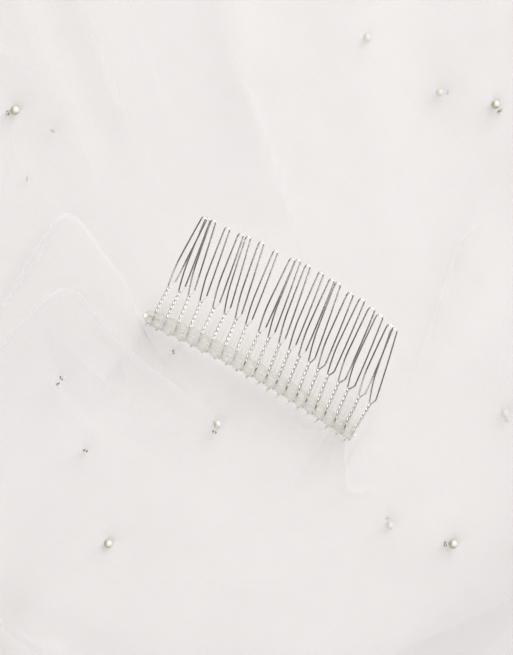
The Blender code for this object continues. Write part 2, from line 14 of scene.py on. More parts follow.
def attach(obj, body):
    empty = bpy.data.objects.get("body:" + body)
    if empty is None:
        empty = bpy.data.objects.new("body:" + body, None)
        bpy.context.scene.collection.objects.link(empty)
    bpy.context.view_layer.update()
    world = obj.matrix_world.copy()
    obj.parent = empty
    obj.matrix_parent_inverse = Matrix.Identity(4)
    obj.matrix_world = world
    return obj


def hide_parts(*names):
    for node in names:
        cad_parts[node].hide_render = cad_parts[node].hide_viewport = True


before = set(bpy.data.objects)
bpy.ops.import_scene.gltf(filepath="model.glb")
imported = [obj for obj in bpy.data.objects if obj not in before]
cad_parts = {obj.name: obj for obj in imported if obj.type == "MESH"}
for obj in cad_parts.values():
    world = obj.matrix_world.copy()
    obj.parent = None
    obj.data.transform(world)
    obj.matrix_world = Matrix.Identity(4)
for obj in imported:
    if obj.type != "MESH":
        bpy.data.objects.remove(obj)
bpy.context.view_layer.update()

MM = 0.001
PLAN_ORIGIN = np.array([-54.50613469, 69.58901452])  # the heap's own middle on the plan
WALL = 1.5  # thickness of the solids' cloth
ABOVE = 200.0  # a height clear of the whole heap

# ---------------------------------------------------------------- the heap, as its solids have it
HEAP_MIDDLE = np.array([-40.0, 45.0])
HEAP_REACH = (  # bearing in degrees, reach of the lowest layer, how far its layers step
    (0, 226, 0.62), (20, 234, 0.90), (44, 284, 1.00), (66, 242, 1.00), (90, 274, 1.00), (114, 236, 0.95),
    (138, 270, 1.00), (161, 230, 1.00), (184, 250, 1.00), (208, 282, 0.95), (231, 236, 0.80), (254, 226, 0.58),
    (277, 216, 0.48), (294, 220, 0.46), (309, 226, 0.48), (324, 218, 0.48), (340, 222, 0.52), (360, 226, 0.62),
)
REACH_RIPPLES = ((11, 2.6, 0.4), (17, 1.8, 2.1))  # waves round the heap, depth, phase
LAYERS = (  # share of the reach at the layer's rim, wander of that share, waves, phase, top height
    (1.000, 0.000, 5, 0.0, 5.2),
    (0.880, 0.045, 5, 1.3, 10.0),
    (0.765, 0.055, 5, 1.8, 14.4),
)
TOP_SHARE = 0.650  # share of the reach that the uppermost stretch covers
TOP_WANDER = 0.060
TOP_WAVES = ((5, 1.6), (9, 2.6))  # waves round its edge, phase
EDGE_LEVEL = 15.2
CROWN_LEVEL = 18.5
CROWN_FLATNESS = 4
FLUTES = (  # bearing at the rim, half width, sweep towards the middle, all in degrees, and height
    (12, 7, -14, 10.0), (31, 9, -22, 16.0), (50, 7, -16, 11.0), (68, 8, 14, 18.0), (85, 6, 20, 10.0),
    (102, 8, 24, 19.0), (120, 6, 12, 12.0), (137, 9, -12, 17.0), (158, 7, -20, 12.0), (176, 8, -26, 18.0),
    (196, 6, -12, 11.0), (213, 9, 10, 16.0), (232, 7, 18, 10.0), (249, 8, 22, 8.0), (268, 7, 12, 3.5),
    (287, 8, -8, 2.2), (318, 8, -12, 2.4), (342, 8, -16, 5.0),
)
FLUTE_START = 0.42  # share of the reach at which the flutes rise from nothing
FLUTE_FULL = 0.84
FLUTE_EDGE = 0.10
FOLDS = (  # start, bend and end of the crest, height, width on its left and on its right
    ((-104, 176), (-84, 96), (-50, 44), 6.0, 9, 15),
    ((-72, 186), (-66, 104), (-35, 47), 5.0, 12, 8),
    ((-26, 190), (-16, 110), (12, 42), 5.0, 14, 9),
    ((-8, 126), (-8, 66), (15, 27), 3.6, 6, 13),
    ((44, 184), (26, 120), (38, 60), 6.0, 13, 17),
    ((-128, 92), (-96, 74), (-80, 30), 4.0, 10, 8),
    ((-62, 10), (-38, -14), (-2, -44), 2.6, 9, 6),
    ((-84, -4), (-62, -46), (-2, -78), 3.4, 8, 12),
    ((-128, -36), (-92, -92), (-20, -112), 5.0, 12, 14),
    ((46, -34), (60, 12), (108, 84), 4.4, 8, 14),
    ((66, -54), (84, -10), (122, 32), 4.4, 9, 15),
    ((66, 14), (66, 44), (104, 52), 2.6, 6, 9),
    ((78, 150), (84, 100), (66, 66), 5.0, 13, 16),
    ((-172, 96), (-150, 52), (-162, 4), 6.0, 14, 17),
    ((-20, -92), (22, -96), (62, -62), 3.2, 12, 9),
)
FOLD_TAPER = 0.22  # share of a fold's length over which it rises from nothing

# ---------------------------------------------------------------- the comb, as its solids have it
COMB_MIDDLE = np.array([-1.5, -15.9])
COMB_BEARING = -28.9
COMB_LEVEL = 23.3504  # height of the bar's ends
BAR_LENGTH = 82.0
BAR_BOW = 2.4  # the bar's middle lies this far towards the teeth from its ends
BAR_SET = -0.7
BAR_ARCH = 2.6  # and stands this far above them
BAR_DROOP = -0.017
TIP_REACH = 42.0
COMB_PRESS = 14.0  # the folds rise again over this distance from the comb
BINDING_END = 39.6
PUFF_WIDTH = 2.9
WIRE_RADIUS = 0.38
TEETH = (  # place of the root, fork and tip along the bar, height of the tip over it, widest loop
    (-38.9, -39.3, -40.0, 39.4, 2.5), (-34.7, -35.2, -38.9, 39.8, 2.4), (-30.4, -31.6, -36.9, 40.0, 2.4),
    (-26.0, -27.2, -31.5, 40.1, 2.5), (-21.7, -22.3, -26.4, 40.5, 2.6), (-17.4, -17.9, -23.8, 40.9, 2.4),
    (-12.6, -13.7, -18.9, 41.4, 2.5), (-8.2, -9.7, -13.2, 41.1, 2.3), (-4.1, -4.7, -6.8, 41.6, 2.7),
    (0.2, -0.9, -5.0, 42.2, 2.5), (4.6, 3.3, -1.2, 42.2, 2.5), (8.5, 7.3, 4.0, 42.3, 2.6),
    (12.4, 11.2, 8.4, 41.9, 2.6), (16.7, 15.2, 10.8, 41.9, 2.7), (20.4, 19.0, 16.2, 41.0, 3.0),
    (24.3, 22.9, 20.7, 41.0, 2.8), (28.2, 27.3, 25.1, 40.0, 3.2), (32.2, 31.2, 28.7, 39.3, 3.4),
    (36.3, 35.8, 33.4, 37.9, 3.1), (39.8, 40.3, 35.2, 37.5, 3.0),
)
STEM_LENGTH = 8.8
STEM_SHARE = 0.22  # share of a tooth's length that its twisted stem takes
TOOTH_RISE = 1.0
TIP_DROP = 0.6
TOOTH_STAGGER = 1.15  # every second tooth is bent up by this, so that loops cross clear of each other
STAGGER_RAMP = 0.38


# ---------------------------------------------------------------- plan helpers
def ease(share):
    share = np.clip(share, 0.0, 1.0)
    return share * share * (3 - 2 * share)


def heading_at(angle):
    return np.array([cos(angle), sin(angle)])


def left_of(heading):
    return np.array([-heading[1], heading[0]])


def heap_rows(bearing):
    """Reach and layer spread at bearings in radians."""
    at = np.degrees(bearing) % 360
    table = np.array(HEAP_REACH, float)
    index = np.clip(np.searchsorted(table[:, 0], at, side="right") - 1, 0, len(table) - 2)
    share = ease((at - table[index, 0]) / (table[index + 1, 0] - table[index, 0]))
    reach = table[index, 1] * (1 - share) + table[index + 1, 1] * share
    spread = table[index, 2] * (1 - share) + table[index + 1, 2] * share
    ripples = sum(depth * np.sin(waves * bearing + phase) for waves, depth, phase in REACH_RIPPLES)
    return reach + ripples, spread


def reach_at(bearing):
    return heap_rows(np.array([bearing]))[0][0]


def random_place(draw, inner, outer):
    """A bearing, and a place on the heap between two shares of its reach there."""
    bearing = draw.uniform(0, tau)
    return bearing, HEAP_MIDDLE + reach_at(bearing) * draw.uniform(inner, outer) * heading_at(bearing)


def flute_height(bearing, share):
    growth = ease((share - FLUTE_START) / (FLUTE_FULL - FLUTE_START)) * ease((1 - share) / FLUTE_EDGE)
    total = np.zeros_like(bearing)
    for rim_bearing, half_width, sweep, height in FLUTES:
        off = (np.degrees(bearing) - rim_bearing - sweep * (1 - share) + 180) % 360 - 180
        total = total + height * np.exp(-((off / half_width) ** 2))
    return total * growth


def top_share(bearing):
    spread = heap_rows(bearing)[1]
    waves = sum(np.sin(count * bearing + phase) for count, phase in TOP_WAVES)
    return 1 - (1 - TOP_SHARE - TOP_WANDER * waves / len(TOP_WAVES)) * spread


def bent_path(start, bend, end, count):
    share = np.linspace(0, 1, count)[:, None]
    start, bend, end = (np.asarray(point, float) for point in (start, bend, end))
    return (1 - share) ** 2 * start + 2 * share * (1 - share) * bend + share**2 * end


def smooth_path(rows, count):
    """Points on a smooth curve through the rows."""
    knots = np.asarray(rows, float)
    ends = np.vstack([2 * knots[0] - knots[1], knots, 2 * knots[-1] - knots[-2]])
    at = np.linspace(0, len(knots) - 1, count)
    index = np.minimum(at.astype(int), len(knots) - 2)
    share = (at - index)[:, None]
    before, start, end, beyond = (ends[index + step] for step in range(4))
    return 0.5 * (
        2 * start
        + (end - before) * share
        + (2 * before - 5 * start + 4 * end - beyond) * share**2
        + (3 * start - before - 3 * end + beyond) * share**3
    )


def crest_heights(rows, x, y, steps=24, sharpness=2.0, taper=FOLD_TAPER):
    """Height that creases add: each falls off either side of the nearest point of its crest."""
    total = np.zeros(x.shape)
    flat_x, flat_y = x.ravel(), y.ravel()
    out = total.ravel()
    for start, bend, end, height, left_width, right_width in rows:
        crest = bent_path(start, bend, end, steps)
        reach = 2.6 * max(left_width, right_width)
        low, high = crest.min(axis=0) - reach, crest.max(axis=0) + reach
        near = np.nonzero((flat_x > low[0]) & (flat_x < high[0]) & (flat_y > low[1]) & (flat_y < high[1]))[0]
        if not len(near):
            continue
        px, py = flat_x[near], flat_y[near]
        best = np.full(len(near), np.inf)
        along = np.zeros(len(near))
        side = np.zeros(len(near))
        for step in range(steps - 1):
            base, ahead = crest[step], crest[step + 1] - crest[step]
            length = ahead @ ahead
            share = np.clip(((px - base[0]) * ahead[0] + (py - base[1]) * ahead[1]) / length, 0, 1)
            off_x, off_y = px - base[0] - ahead[0] * share, py - base[1] - ahead[1] * share
            distance = off_x**2 + off_y**2
            nearer = distance < best
            best = np.where(nearer, distance, best)
            along = np.where(nearer, (step + share) / (steps - 1), along)
            side = np.where(nearer, ahead[0] * off_y - ahead[1] * off_x, side)
        width = np.where(side > 0, left_width, right_width)
        profile = np.exp(-((np.sqrt(best) / width) ** sharpness))
        out[near] += height * profile * ease(along / taper) * ease((1 - along) / taper)
    return out.reshape(x.shape)


COMB_ALONG = heading_at(radians(COMB_BEARING))
COMB_ACROSS = left_of(COMB_ALONG)


def in_comb_frame(x, y):
    off_x, off_y = x - COMB_MIDDLE[0], y - COMB_MIDDLE[1]
    return off_x * COMB_ALONG[0] + off_y * COMB_ALONG[1], off_x * COMB_ACROSS[0] + off_y * COMB_ACROSS[1]


def comb_rest(x, y):
    along, across = in_comb_frame(x, y)
    beside = np.maximum(np.abs(along) - BAR_LENGTH / 2, 0.0)
    beyond = np.maximum(np.maximum(across - TIP_REACH, -PUFF_WIDTH - across), 0.0)
    return ease(np.hypot(beside, beyond) / COMB_PRESS)


def heap_polar(x, y):
    """Bearing, reach share and share of the uppermost stretch at plan points."""
    off_x, off_y = x - HEAP_MIDDLE[0], y - HEAP_MIDDLE[1]
    bearing = np.arctan2(off_y, off_x) % tau
    reach, _ = heap_rows(bearing)
    reach_share = np.hypot(off_x, off_y) / reach
    return bearing, reach_share, reach_share / top_share(bearing)


def top_level(x, y):
    """Height of the uppermost stretch's underside."""
    bearing, reach_share, share = heap_polar(x, y)
    crown = (CROWN_LEVEL - EDGE_LEVEL) * (1 - np.minimum(share, 1.0) ** CROWN_FLATNESS)
    folds = crest_heights(FOLDS, x, y) * comb_rest(x, y)
    return EDGE_LEVEL + crown + folds + flute_height(bearing, reach_share)


def to_world(points):
    places = np.array(points, float)
    places[..., :2] -= PLAN_ORIGIN
    return places * MM


# ---------------------------------------------------------------- node helpers
FLOAT, WHOLE, VECTOR = "NodeSocketFloat", "NodeSocketInt", "NodeSocketVector"
GEOMETRY, FINISH = "NodeSocketGeometry", "NodeSocketMaterial"


def new_group(name, kind, ins, outs):
    """A node group with its input and output nodes; inputs are (name, kind, value), outputs (name, kind)."""
    group = bpy.data.node_groups.new(name, kind)
    for socket_name, socket_type, value in ins:
        socket = group.interface.new_socket(socket_name, in_out="INPUT", socket_type=socket_type)
        if value is not None:
            socket.default_value = value
    for socket_name, socket_type in outs:
        group.interface.new_socket(socket_name, in_out="OUTPUT", socket_type=socket_type)
    return group, group.nodes.new("NodeGroupInput"), group.nodes.new("NodeGroupOutput")


def node(tree, kind, links=(), **settings):
    """A node with its settings, and links as (input name or number, output socket or plain value)."""
    made = tree.nodes.new(kind)
    for key, value in settings.items():
        setattr(made, key, value)
    for target, source in links:
        if isinstance(source, bpy.types.NodeSocket):
            tree.links.new(source, made.inputs[target])
        else:
            made.inputs[target].default_value = source
    return made


def maths(tree, operation, *values):
    return node(tree, "ShaderNodeMath", list(enumerate(values)), operation=operation).outputs[0]


def smooth_step(tree, value, low, high, at_low, at_high):
    """A socket that eases from one value to another while its input goes from low to high."""
    links = list(enumerate((value, low, high, at_low, at_high)))
    return node(tree, "ShaderNodeMapRange", links, interpolation_type="SMOOTHSTEP").outputs[0]


# ---------------------------------------------------------------- shader groups
def make_net_group():
    """Threads of a six sided net: 1 on a thread, 0 in an opening."""
    ins = [("Vector", VECTOR, None), ("Pitch", FLOAT, 0.001), ("Fill", FLOAT, 0.3)]
    group, given, result = new_group("tulle_net", "ShaderNodeTree", ins, [("Thread", FLOAT)])
    vector = given.outputs["Vector"]
    wander = node(group, "ShaderNodeTexNoise", [("Vector", vector), ("Scale", 160.0)]).outputs["Color"]
    shift = node(group, "ShaderNodeVectorMath", [(0, wander), ("Scale", 0.0007)], operation="SCALE").outputs[0]
    place = node(group, "ShaderNodeVectorMath", [(0, vector), (1, shift)]).outputs[0]
    total = None
    for turn in (0, 60, 120):
        direction = (*heading_at(radians(turn)), 0.0)
        along = node(group, "ShaderNodeVectorMath", [(0, place), (1, direction)], operation="DOT_PRODUCT")
        phase = maths(group, "MULTIPLY", along.outputs["Value"], 4 * pi / 3**0.5)
        wave = maths(group, "COSINE", maths(group, "DIVIDE", phase, given.outputs["Pitch"]))
        total = wave if total is None else maths(group, "ADD", total, wave)
    edge = maths(group, "SUBTRACT", given.outputs["Fill"], total)
    group.links.new(smooth_step(group, edge, -0.6, 0.9, 0.0, 1.0), result.inputs["Thread"])
    return group


def make_mottle_group():
    """Soft uneven clouding about 1, for colour and density."""
    ins = [("Vector", VECTOR, None), ("Scale", FLOAT, 40.0), ("Amount", FLOAT, 0.1)]
    group, given, result = new_group("soft_mottle", "ShaderNodeTree", ins, [("Factor", FLOAT)])
    links = [(name, given.outputs[name]) for name in ("Vector", "Scale")]
    cloud = node(group, "ShaderNodeTexNoise", [*links, ("Detail", 3.0), ("Roughness", 0.55)])
    centred = maths(group, "SUBTRACT", cloud.outputs["Fac"], 0.5)
    factor = maths(group, "ADD", maths(group, "MULTIPLY", centred, given.outputs["Amount"]), 1.0)
    group.links.new(factor, result.inputs["Factor"])
    return group


NET = make_net_group()
MOTTLE = make_mottle_group()


def new_material(name, **finish):
    """A material, its nodes and its shader, with plain numbers set on the shader's own sockets."""
    material = bpy.data.materials.new(name)
    material.use_nodes = True
    tree = material.node_tree
    shader = tree.nodes["Principled BSDF"]
    for socket, value in finish.items():
        shader.inputs[socket.replace("_", " ")].default_value = value
    return material, tree, shader


def clouded(tree, place, scale, amount):
    """A factor about 1 that clouds softly."""
    links = [("Vector", place), ("Scale", scale), ("Amount", amount)]
    return node(tree, "ShaderNodeGroup", links, node_tree=MOTTLE).outputs["Factor"]


def threads_of_net(tree, place, pitch):
    links = [("Vector", place), ("Pitch", pitch), ("Fill", 0.2)]
    return node(tree, "ShaderNodeGroup", links, node_tree=NET).outputs["Thread"]


def mixed_colour(tree, share, first, second):
    """Colour between two RGBA colours."""
    return node(tree, "ShaderNodeMix", [(0, share), (6, first), (7, second)], data_type="RGBA").outputs[2]


def set_colour(tree, shader, colour, factor):
    """Base colour, one colour or a socket, times a factor."""
    shade = node(tree, "ShaderNodeVectorMath", [(0, colour), ("Scale", factor)], operation="SCALE")
    tree.links.new(shade.outputs[0], shader.inputs["Base Color"])


def set_cover(tree, shader, *factors):
    """How much of what lies behind a sheet it hides: its mesh's cover, times factors."""
    total = node(tree, "ShaderNodeAttribute", attribute_name="cloth_cover").outputs["Fac"]
    for factor in factors:
        total = maths(tree, "MULTIPLY", total, factor)
    tree.links.new(node(tree, "ShaderNodeClamp", [(0, total)]).outputs[0], shader.inputs["Alpha"])


def set_bump(tree, shader, height, strength, distance):
    bump = node(tree, "ShaderNodeBump", [("Height", height), ("Strength", strength), ("Distance", distance)])
    tree.links.new(bump.outputs[0], shader.inputs["Normal"])


def woven(tree, thread, share):
    """A net's effect on its cover: `share` more on a thread than in an opening."""
    return maths(tree, "ADD", maths(tree, "MULTIPLY", thread, share), 1 - 0.5 * share)


def tulle_material(name, net_share):
    """Sheer net, as dense as its mesh's cover says."""
    material, tree, shader = new_material(
        name, Roughness=0.75, Specular_IOR_Level=0.3, Sheen_Weight=0.25, Sheen_Roughness=0.45
    )
    place = node(tree, "ShaderNodeUVMap", uv_map="cloth").outputs["UV"]
    thread = threads_of_net(tree, place, 0.00105)
    set_cover(tree, shader, woven(tree, thread, net_share), clouded(tree, place, 55.0, 0.12))
    set_colour(tree, shader, TULLE_WHITE, clouded(tree, place, 18.0, 0.03))
    fine = node(tree, "ShaderNodeTexNoise", [("Vector", place), ("Scale", 260.0), ("Detail", 4.0)])
    relief = maths(tree, "ADD", maths(tree, "MULTIPLY", thread, 0.08), fine.outputs["Fac"])
    set_bump(tree, shader, relief, 0.10, 0.0002)
    return material


def ribbon_material():
    """Closely woven sheer ribbon with fine ribs; in shadows it lets through part of what it stops."""
    material, tree, shader = new_material(
        "sheer_ivory_ribbon", Roughness=0.62, Specular_IOR_Level=0.3, Sheen_Weight=0.2
    )
    place = node(tree, "ShaderNodeUVMap", uv_map="cloth").outputs["UV"]
    set_colour(tree, shader, RIBBON_IVORY, clouded(tree, place, 300.0, 0.16))
    in_shadow = node(tree, "ShaderNodeLightPath").outputs["Is Shadow Ray"]
    kept = maths(tree, "SUBTRACT", 1.0, maths(tree, "MULTIPLY", in_shadow, RIBBON_SCATTER))
    set_cover(tree, shader, woven(tree, threads_of_net(tree, place, 0.00055), 0.4), kept)
    ribs = node(
        tree, "ShaderNodeTexWave", [("Vector", place), ("Scale", 900.0), ("Distortion", 1.2)],
        wave_type="BANDS", bands_direction="X",
    )
    set_bump(tree, shader, ribs.outputs["Fac"], 0.25, 0.0001)
    return material


TULLE_WHITE = (0.915, 0.893, 0.886)
RIBBON_IVORY = (0.69, 0.67, 0.61)
THREAD_IVORY = (0.83, 0.82, 0.77)
# painted shade and painted light of the pearls, chosen by the way each point of their surface faces
PEARL_PAINTED_SHADE = (0.41, 0.408, 0.27, 1.0)
PEARL_PAINTED_LIT = (0.88, 0.87, 0.80, 1.0)
RIBBON_SCATTER = 0.6  # share of the light it stops that it scatters on to what lies below
LIT_SIDE_WAY = (0.60, 0.35, 0.72)  # the way that the lit side painted on the pearls faces
# colour of the highlights painted onto the comb's wire
PAINTED_HIGHLIGHT_METAL = (0.95, 0.94, 0.92, 1.0)


def painted_light_side(tree, low, high):
    """1 where a surface faces the way of the painted lit side, 0 where it is painted in shade."""
    normal = node(tree, "ShaderNodeNewGeometry").outputs["Normal"]
    facing = node(tree, "ShaderNodeVectorMath", [(0, normal), (1, LIT_SIDE_WAY)], operation="DOT_PRODUCT")
    return smooth_step(tree, facing.outputs["Value"], low, high, 0.0, 1.0)


def metal_material(name, base_tone, roughness, scale):
    """Plated wire: the attribute on its mesh says where highlights are painted into its colour as bright metal, and
    where they are strongest, painted frosted white.
    """
    material, tree, shader = new_material(name)
    place = node(tree, "ShaderNodeTexCoord").outputs["Object"]
    painted_highlight = node(tree, "ShaderNodeAttribute", attribute_name="painted_highlight").outputs["Fac"]
    # where the painted highlight is strongest the wire loses its metal and shows a painted white
    tree.links.new(smooth_step(tree, painted_highlight, 0.70, 1.0, 1.0, 0.30), shader.inputs["Metallic"])
    share = maths(tree, "MULTIPLY", painted_highlight, clouded(tree, place, scale, 0.3))
    shade = mixed_colour(tree, node(tree, "ShaderNodeClamp", [(0, share)]).outputs[0], base_tone, PAINTED_HIGHLIGHT_METAL)
    tree.links.new(shade, shader.inputs["Base Color"])
    scuff = maths(tree, "MULTIPLY", clouded(tree, place, scale * 3, 0.5), roughness)
    tree.links.new(scuff, shader.inputs["Roughness"])
    fine = node(tree, "ShaderNodeTexNoise", [("Vector", place), ("Scale", 2600.0), ("Detail", 2.0)])
    set_bump(tree, shader, fine.outputs["Fac"], 0.05, 0.00005)
    return material


def pearl_material():
    """Lustrous ivory, painted white on the side that faces the light and painted olive grey shade on the side away
    from it.
    """
    material, tree, shader = new_material("ivory_pearl", Roughness=0.25, Coat_Weight=1.0, Coat_Roughness=0.16)
    place = node(tree, "ShaderNodeTexCoord").outputs["Object"]
    painted_light_colour = mixed_colour(tree, painted_light_side(tree, 0.25, 0.95), PEARL_PAINTED_SHADE, PEARL_PAINTED_LIT)
    set_colour(tree, shader, painted_light_colour, clouded(tree, place, 700.0, 0.14))
    return material


def thread_material():
    material, tree, shader = new_material("ivory_sewing_thread", Roughness=0.6)
    place = node(tree, "ShaderNodeTexCoord").outputs["Object"]
    set_colour(tree, shader, THREAD_IVORY, clouded(tree, place, 1500.0, 0.2))
    return material


TULLE = tulle_material("sheer_tulle", 0.05)
BED_TULLE = tulle_material("layered_tulle", 0.03)
RIBBON = ribbon_material()
WIRE = metal_material("bright_comb_wire", (0.62, 0.61, 0.58, 1.0), 0.20, 500.0)
BEAD_SILVER = metal_material("silver_bead_glaze", (0.50, 0.48, 0.43, 1.0), 0.16, 900.0)
PEARL = pearl_material()
THREAD = thread_material()


# ---------------------------------------------------------------- mesh helpers
def linked(name, data):
    """A new object in the scene."""
    obj = bpy.data.objects.new(name, data)
    bpy.context.collection.objects.link(obj)
    return obj


def new_piece(name, points, faces, material):
    mesh = bpy.data.meshes.new(name)
    mesh.from_pydata(to_world(points).tolist(), [], faces)
    mesh.materials.append(material)
    mesh.shade_smooth()
    mesh.update()
    return linked(name, mesh)


def set_attribute(mesh, name, values, kind="FLOAT", field="value"):
    """Writes one value, or one vector, for each point of a mesh."""
    mesh.attributes.new(name, kind, "POINT").data.foreach_set(field, np.ravel(values).astype(np.float32))


def grid_faces(rows, columns, closed):
    here = np.arange(rows * columns).reshape(rows, columns)
    if closed:
        here = np.hstack([here, here[:, :1]])
    quads = np.stack([here[:-1, :-1], here[:-1, 1:], here[1:, 1:], here[1:, :-1]], axis=-1)
    return quads.reshape(-1, 4)


def paint(sheet, density, turn):
    """Writes a sheet's density and its net's own coordinates, turned by some degrees."""
    mesh = sheet.data
    set_attribute(mesh, "cloth_cover", np.clip(density, 0.0, 1.0))
    places = np.zeros(len(mesh.vertices) * 3, np.float32)
    mesh.vertices.foreach_get("co", places)
    places = places.reshape(-1, 3)
    angle = radians(turn)
    u = places[:, 0] * cos(angle) - places[:, 1] * sin(angle)
    v = places[:, 0] * sin(angle) + places[:, 1] * cos(angle)
    corners = np.zeros(len(mesh.loops), np.int32)
    mesh.loops.foreach_get("vertex_index", corners)
    uv = mesh.uv_layers.new(name="cloth")
    uv.data.foreach_set("uv", np.stack([u[corners], v[corners]], axis=-1).ravel())


STEEPEST = 5.0  # most cloth that one sloping layer counts as


def steepness(grid, closed):
    """1 over the upright share of the surface's normal: how much cloth lies over each spot."""
    if closed:
        across = np.roll(grid, -1, axis=1) - np.roll(grid, 1, axis=1)
    else:
        across = np.gradient(grid, axis=1)
    along = np.gradient(grid, axis=0)
    normal = np.cross(across, along)
    length = np.linalg.norm(normal, axis=-1)
    return length / np.maximum(np.abs(normal[..., 2]), length / STEEPEST + 1e-9)


def cover(grid, closed, single):
    """Density of one sheer layer as it lies: a slope shows more cloth than a flat stretch."""
    return 1 - (1 - single) ** steepness(grid, closed)


def add_sheet(name, grid, density, material, turn, closed=False, upward=True, pole=False):
    """A sheet from rows of points; `closed` joins its ends and `pole` closes its last ring."""
    rows, columns = grid.shape[:2]
    points = grid.reshape(-1, 3)
    density = np.broadcast_to(density, (rows, columns)).ravel()
    faces = grid_faces(rows, columns, closed).tolist()
    if pole:
        ring = np.arange(columns) + (rows - 1) * columns
        faces += np.stack([ring, np.roll(ring, -1), np.full(columns, len(points))], axis=-1).tolist()
        points = np.vstack([points, grid[-1].mean(axis=0)])
        density = np.append(density, density[ring].mean())
    if not upward:
        faces = [face[::-1] for face in faces]
    piece = new_piece(name, points, faces, material)
    paint(piece, density, turn)
    return piece


def add_strips(name, grids, densities, material, turn):
    """One mesh of many strips that all have the same rows and columns."""
    rows, columns = grids[0].shape[:2]
    strip = grid_faces(rows, columns, False)
    faces = np.concatenate([strip + index * rows * columns for index in range(len(grids))])
    piece = new_piece(name, np.concatenate([grid.reshape(-1, 3) for grid in grids]), faces.tolist(), material)
    paint(piece, np.concatenate([density.ravel() for density in densities]), turn)
    return piece


def own(piece, slot, *nodes):
    """Attaches a piece to the root and hides the solids that it stands for; `slot`, what it is made of, is not used.
    """
    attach(piece, "root")
    if nodes:
        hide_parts(*nodes)
    return piece


# ---------------------------------------------------------------- creases
CREASES = (  # start, bend, end, height, left width, right width
    ((-70, 95), (-62, 66), (-52, 43), 0.9, 3.0, 6.0),
    ((-60, 112), (-50, 80), (-36, 47), 0.8, 2.5, 4.5),
    ((-88, 70), (-78, 48), (-62, 30), 0.7, 3.5, 5.0),
    ((-44, 110), (-36, 84), (-24, 58), 0.5, 2.0, 4.0),
    ((-15, 106), (7, 64), (16, 18), 1.1, 1.6, 9.0),
    ((22, 104), (14, 74), (22, 48), 0.5, 3.0, 5.0),
    ((49, 100), (40, 74), (48, 44), 0.6, 4.0, 6.0),
    ((74, 96), (66, 70), (76, 50), 0.5, 3.0, 4.0),
    ((50, -25), (60, 0), (68, 30), 0.9, 2.5, 5.0),
    ((60, -10), (64, 14), (84, 56), 0.8, 3.0, 6.0),
    ((68, 20), (67, 30), (77, 35), 0.7, 2.0, 3.0),
    ((80, -30), (88, -4), (96, 20), 0.7, 3.0, 6.0),
    ((-62, 9), (-42, -10), (-19, -26), 0.8, 3.0, 2.0),
    ((-60, 4), (-38, -18), (-6, -36), 0.7, 3.0, 2.0),
    ((-70, -2), (-50, -26), (-8, -44), 0.6, 2.5, 3.5),
    ((-78, -14), (-58, -40), (-16, -56), 0.7, 3.0, 4.0),
    ((-9, -34), (12, -37), (30, -36), 0.9, 2.0, 5.0),
    ((-4, -44), (14, -52), (30, -44), 0.6, 3.0, 5.0),
    ((-80, -58), (-50, -66), (-10, -64), 0.7, 4.0, 6.0),
    ((-86, -96), (-74, -104), (-60, -120), 1.3, 2.5, 5.0),
    ((-70, -78), (-40, -92), (10, -90), 0.8, 4.0, 7.0),
    ((20, -70), (46, -78), (70, -66), 0.7, 4.0, 6.0),
    ((104, -84), (84, -97), (48, -112), 0.5, 3.0, 5.0),
    ((-120, 130), (-96, 96), (-72, 84), 1.2, 4.0, 6.0),
    ((-150, 60), (-130, 52), (-98, 60), 1.1, 4.0, 6.0),
    ((-146, 10), (-122, 22), (-104, 20), 1.0, 4.0, 6.0),
    ((-30, 160), (-34, 138), (-20, 118), 1.2, 4.0, 6.0),
    ((10, 168), (18, 142), (8, 122), 1.0, 4.0, 6.0),
    ((60, 170), (52, 148), (66, 126), 1.2, 4.0, 6.0),
    ((104, 120), (96, 100), (112, 84), 1.1, 4.0, 6.0),
)
CREASE_SHARE = 0.5
SPREAD_CREASES = 230
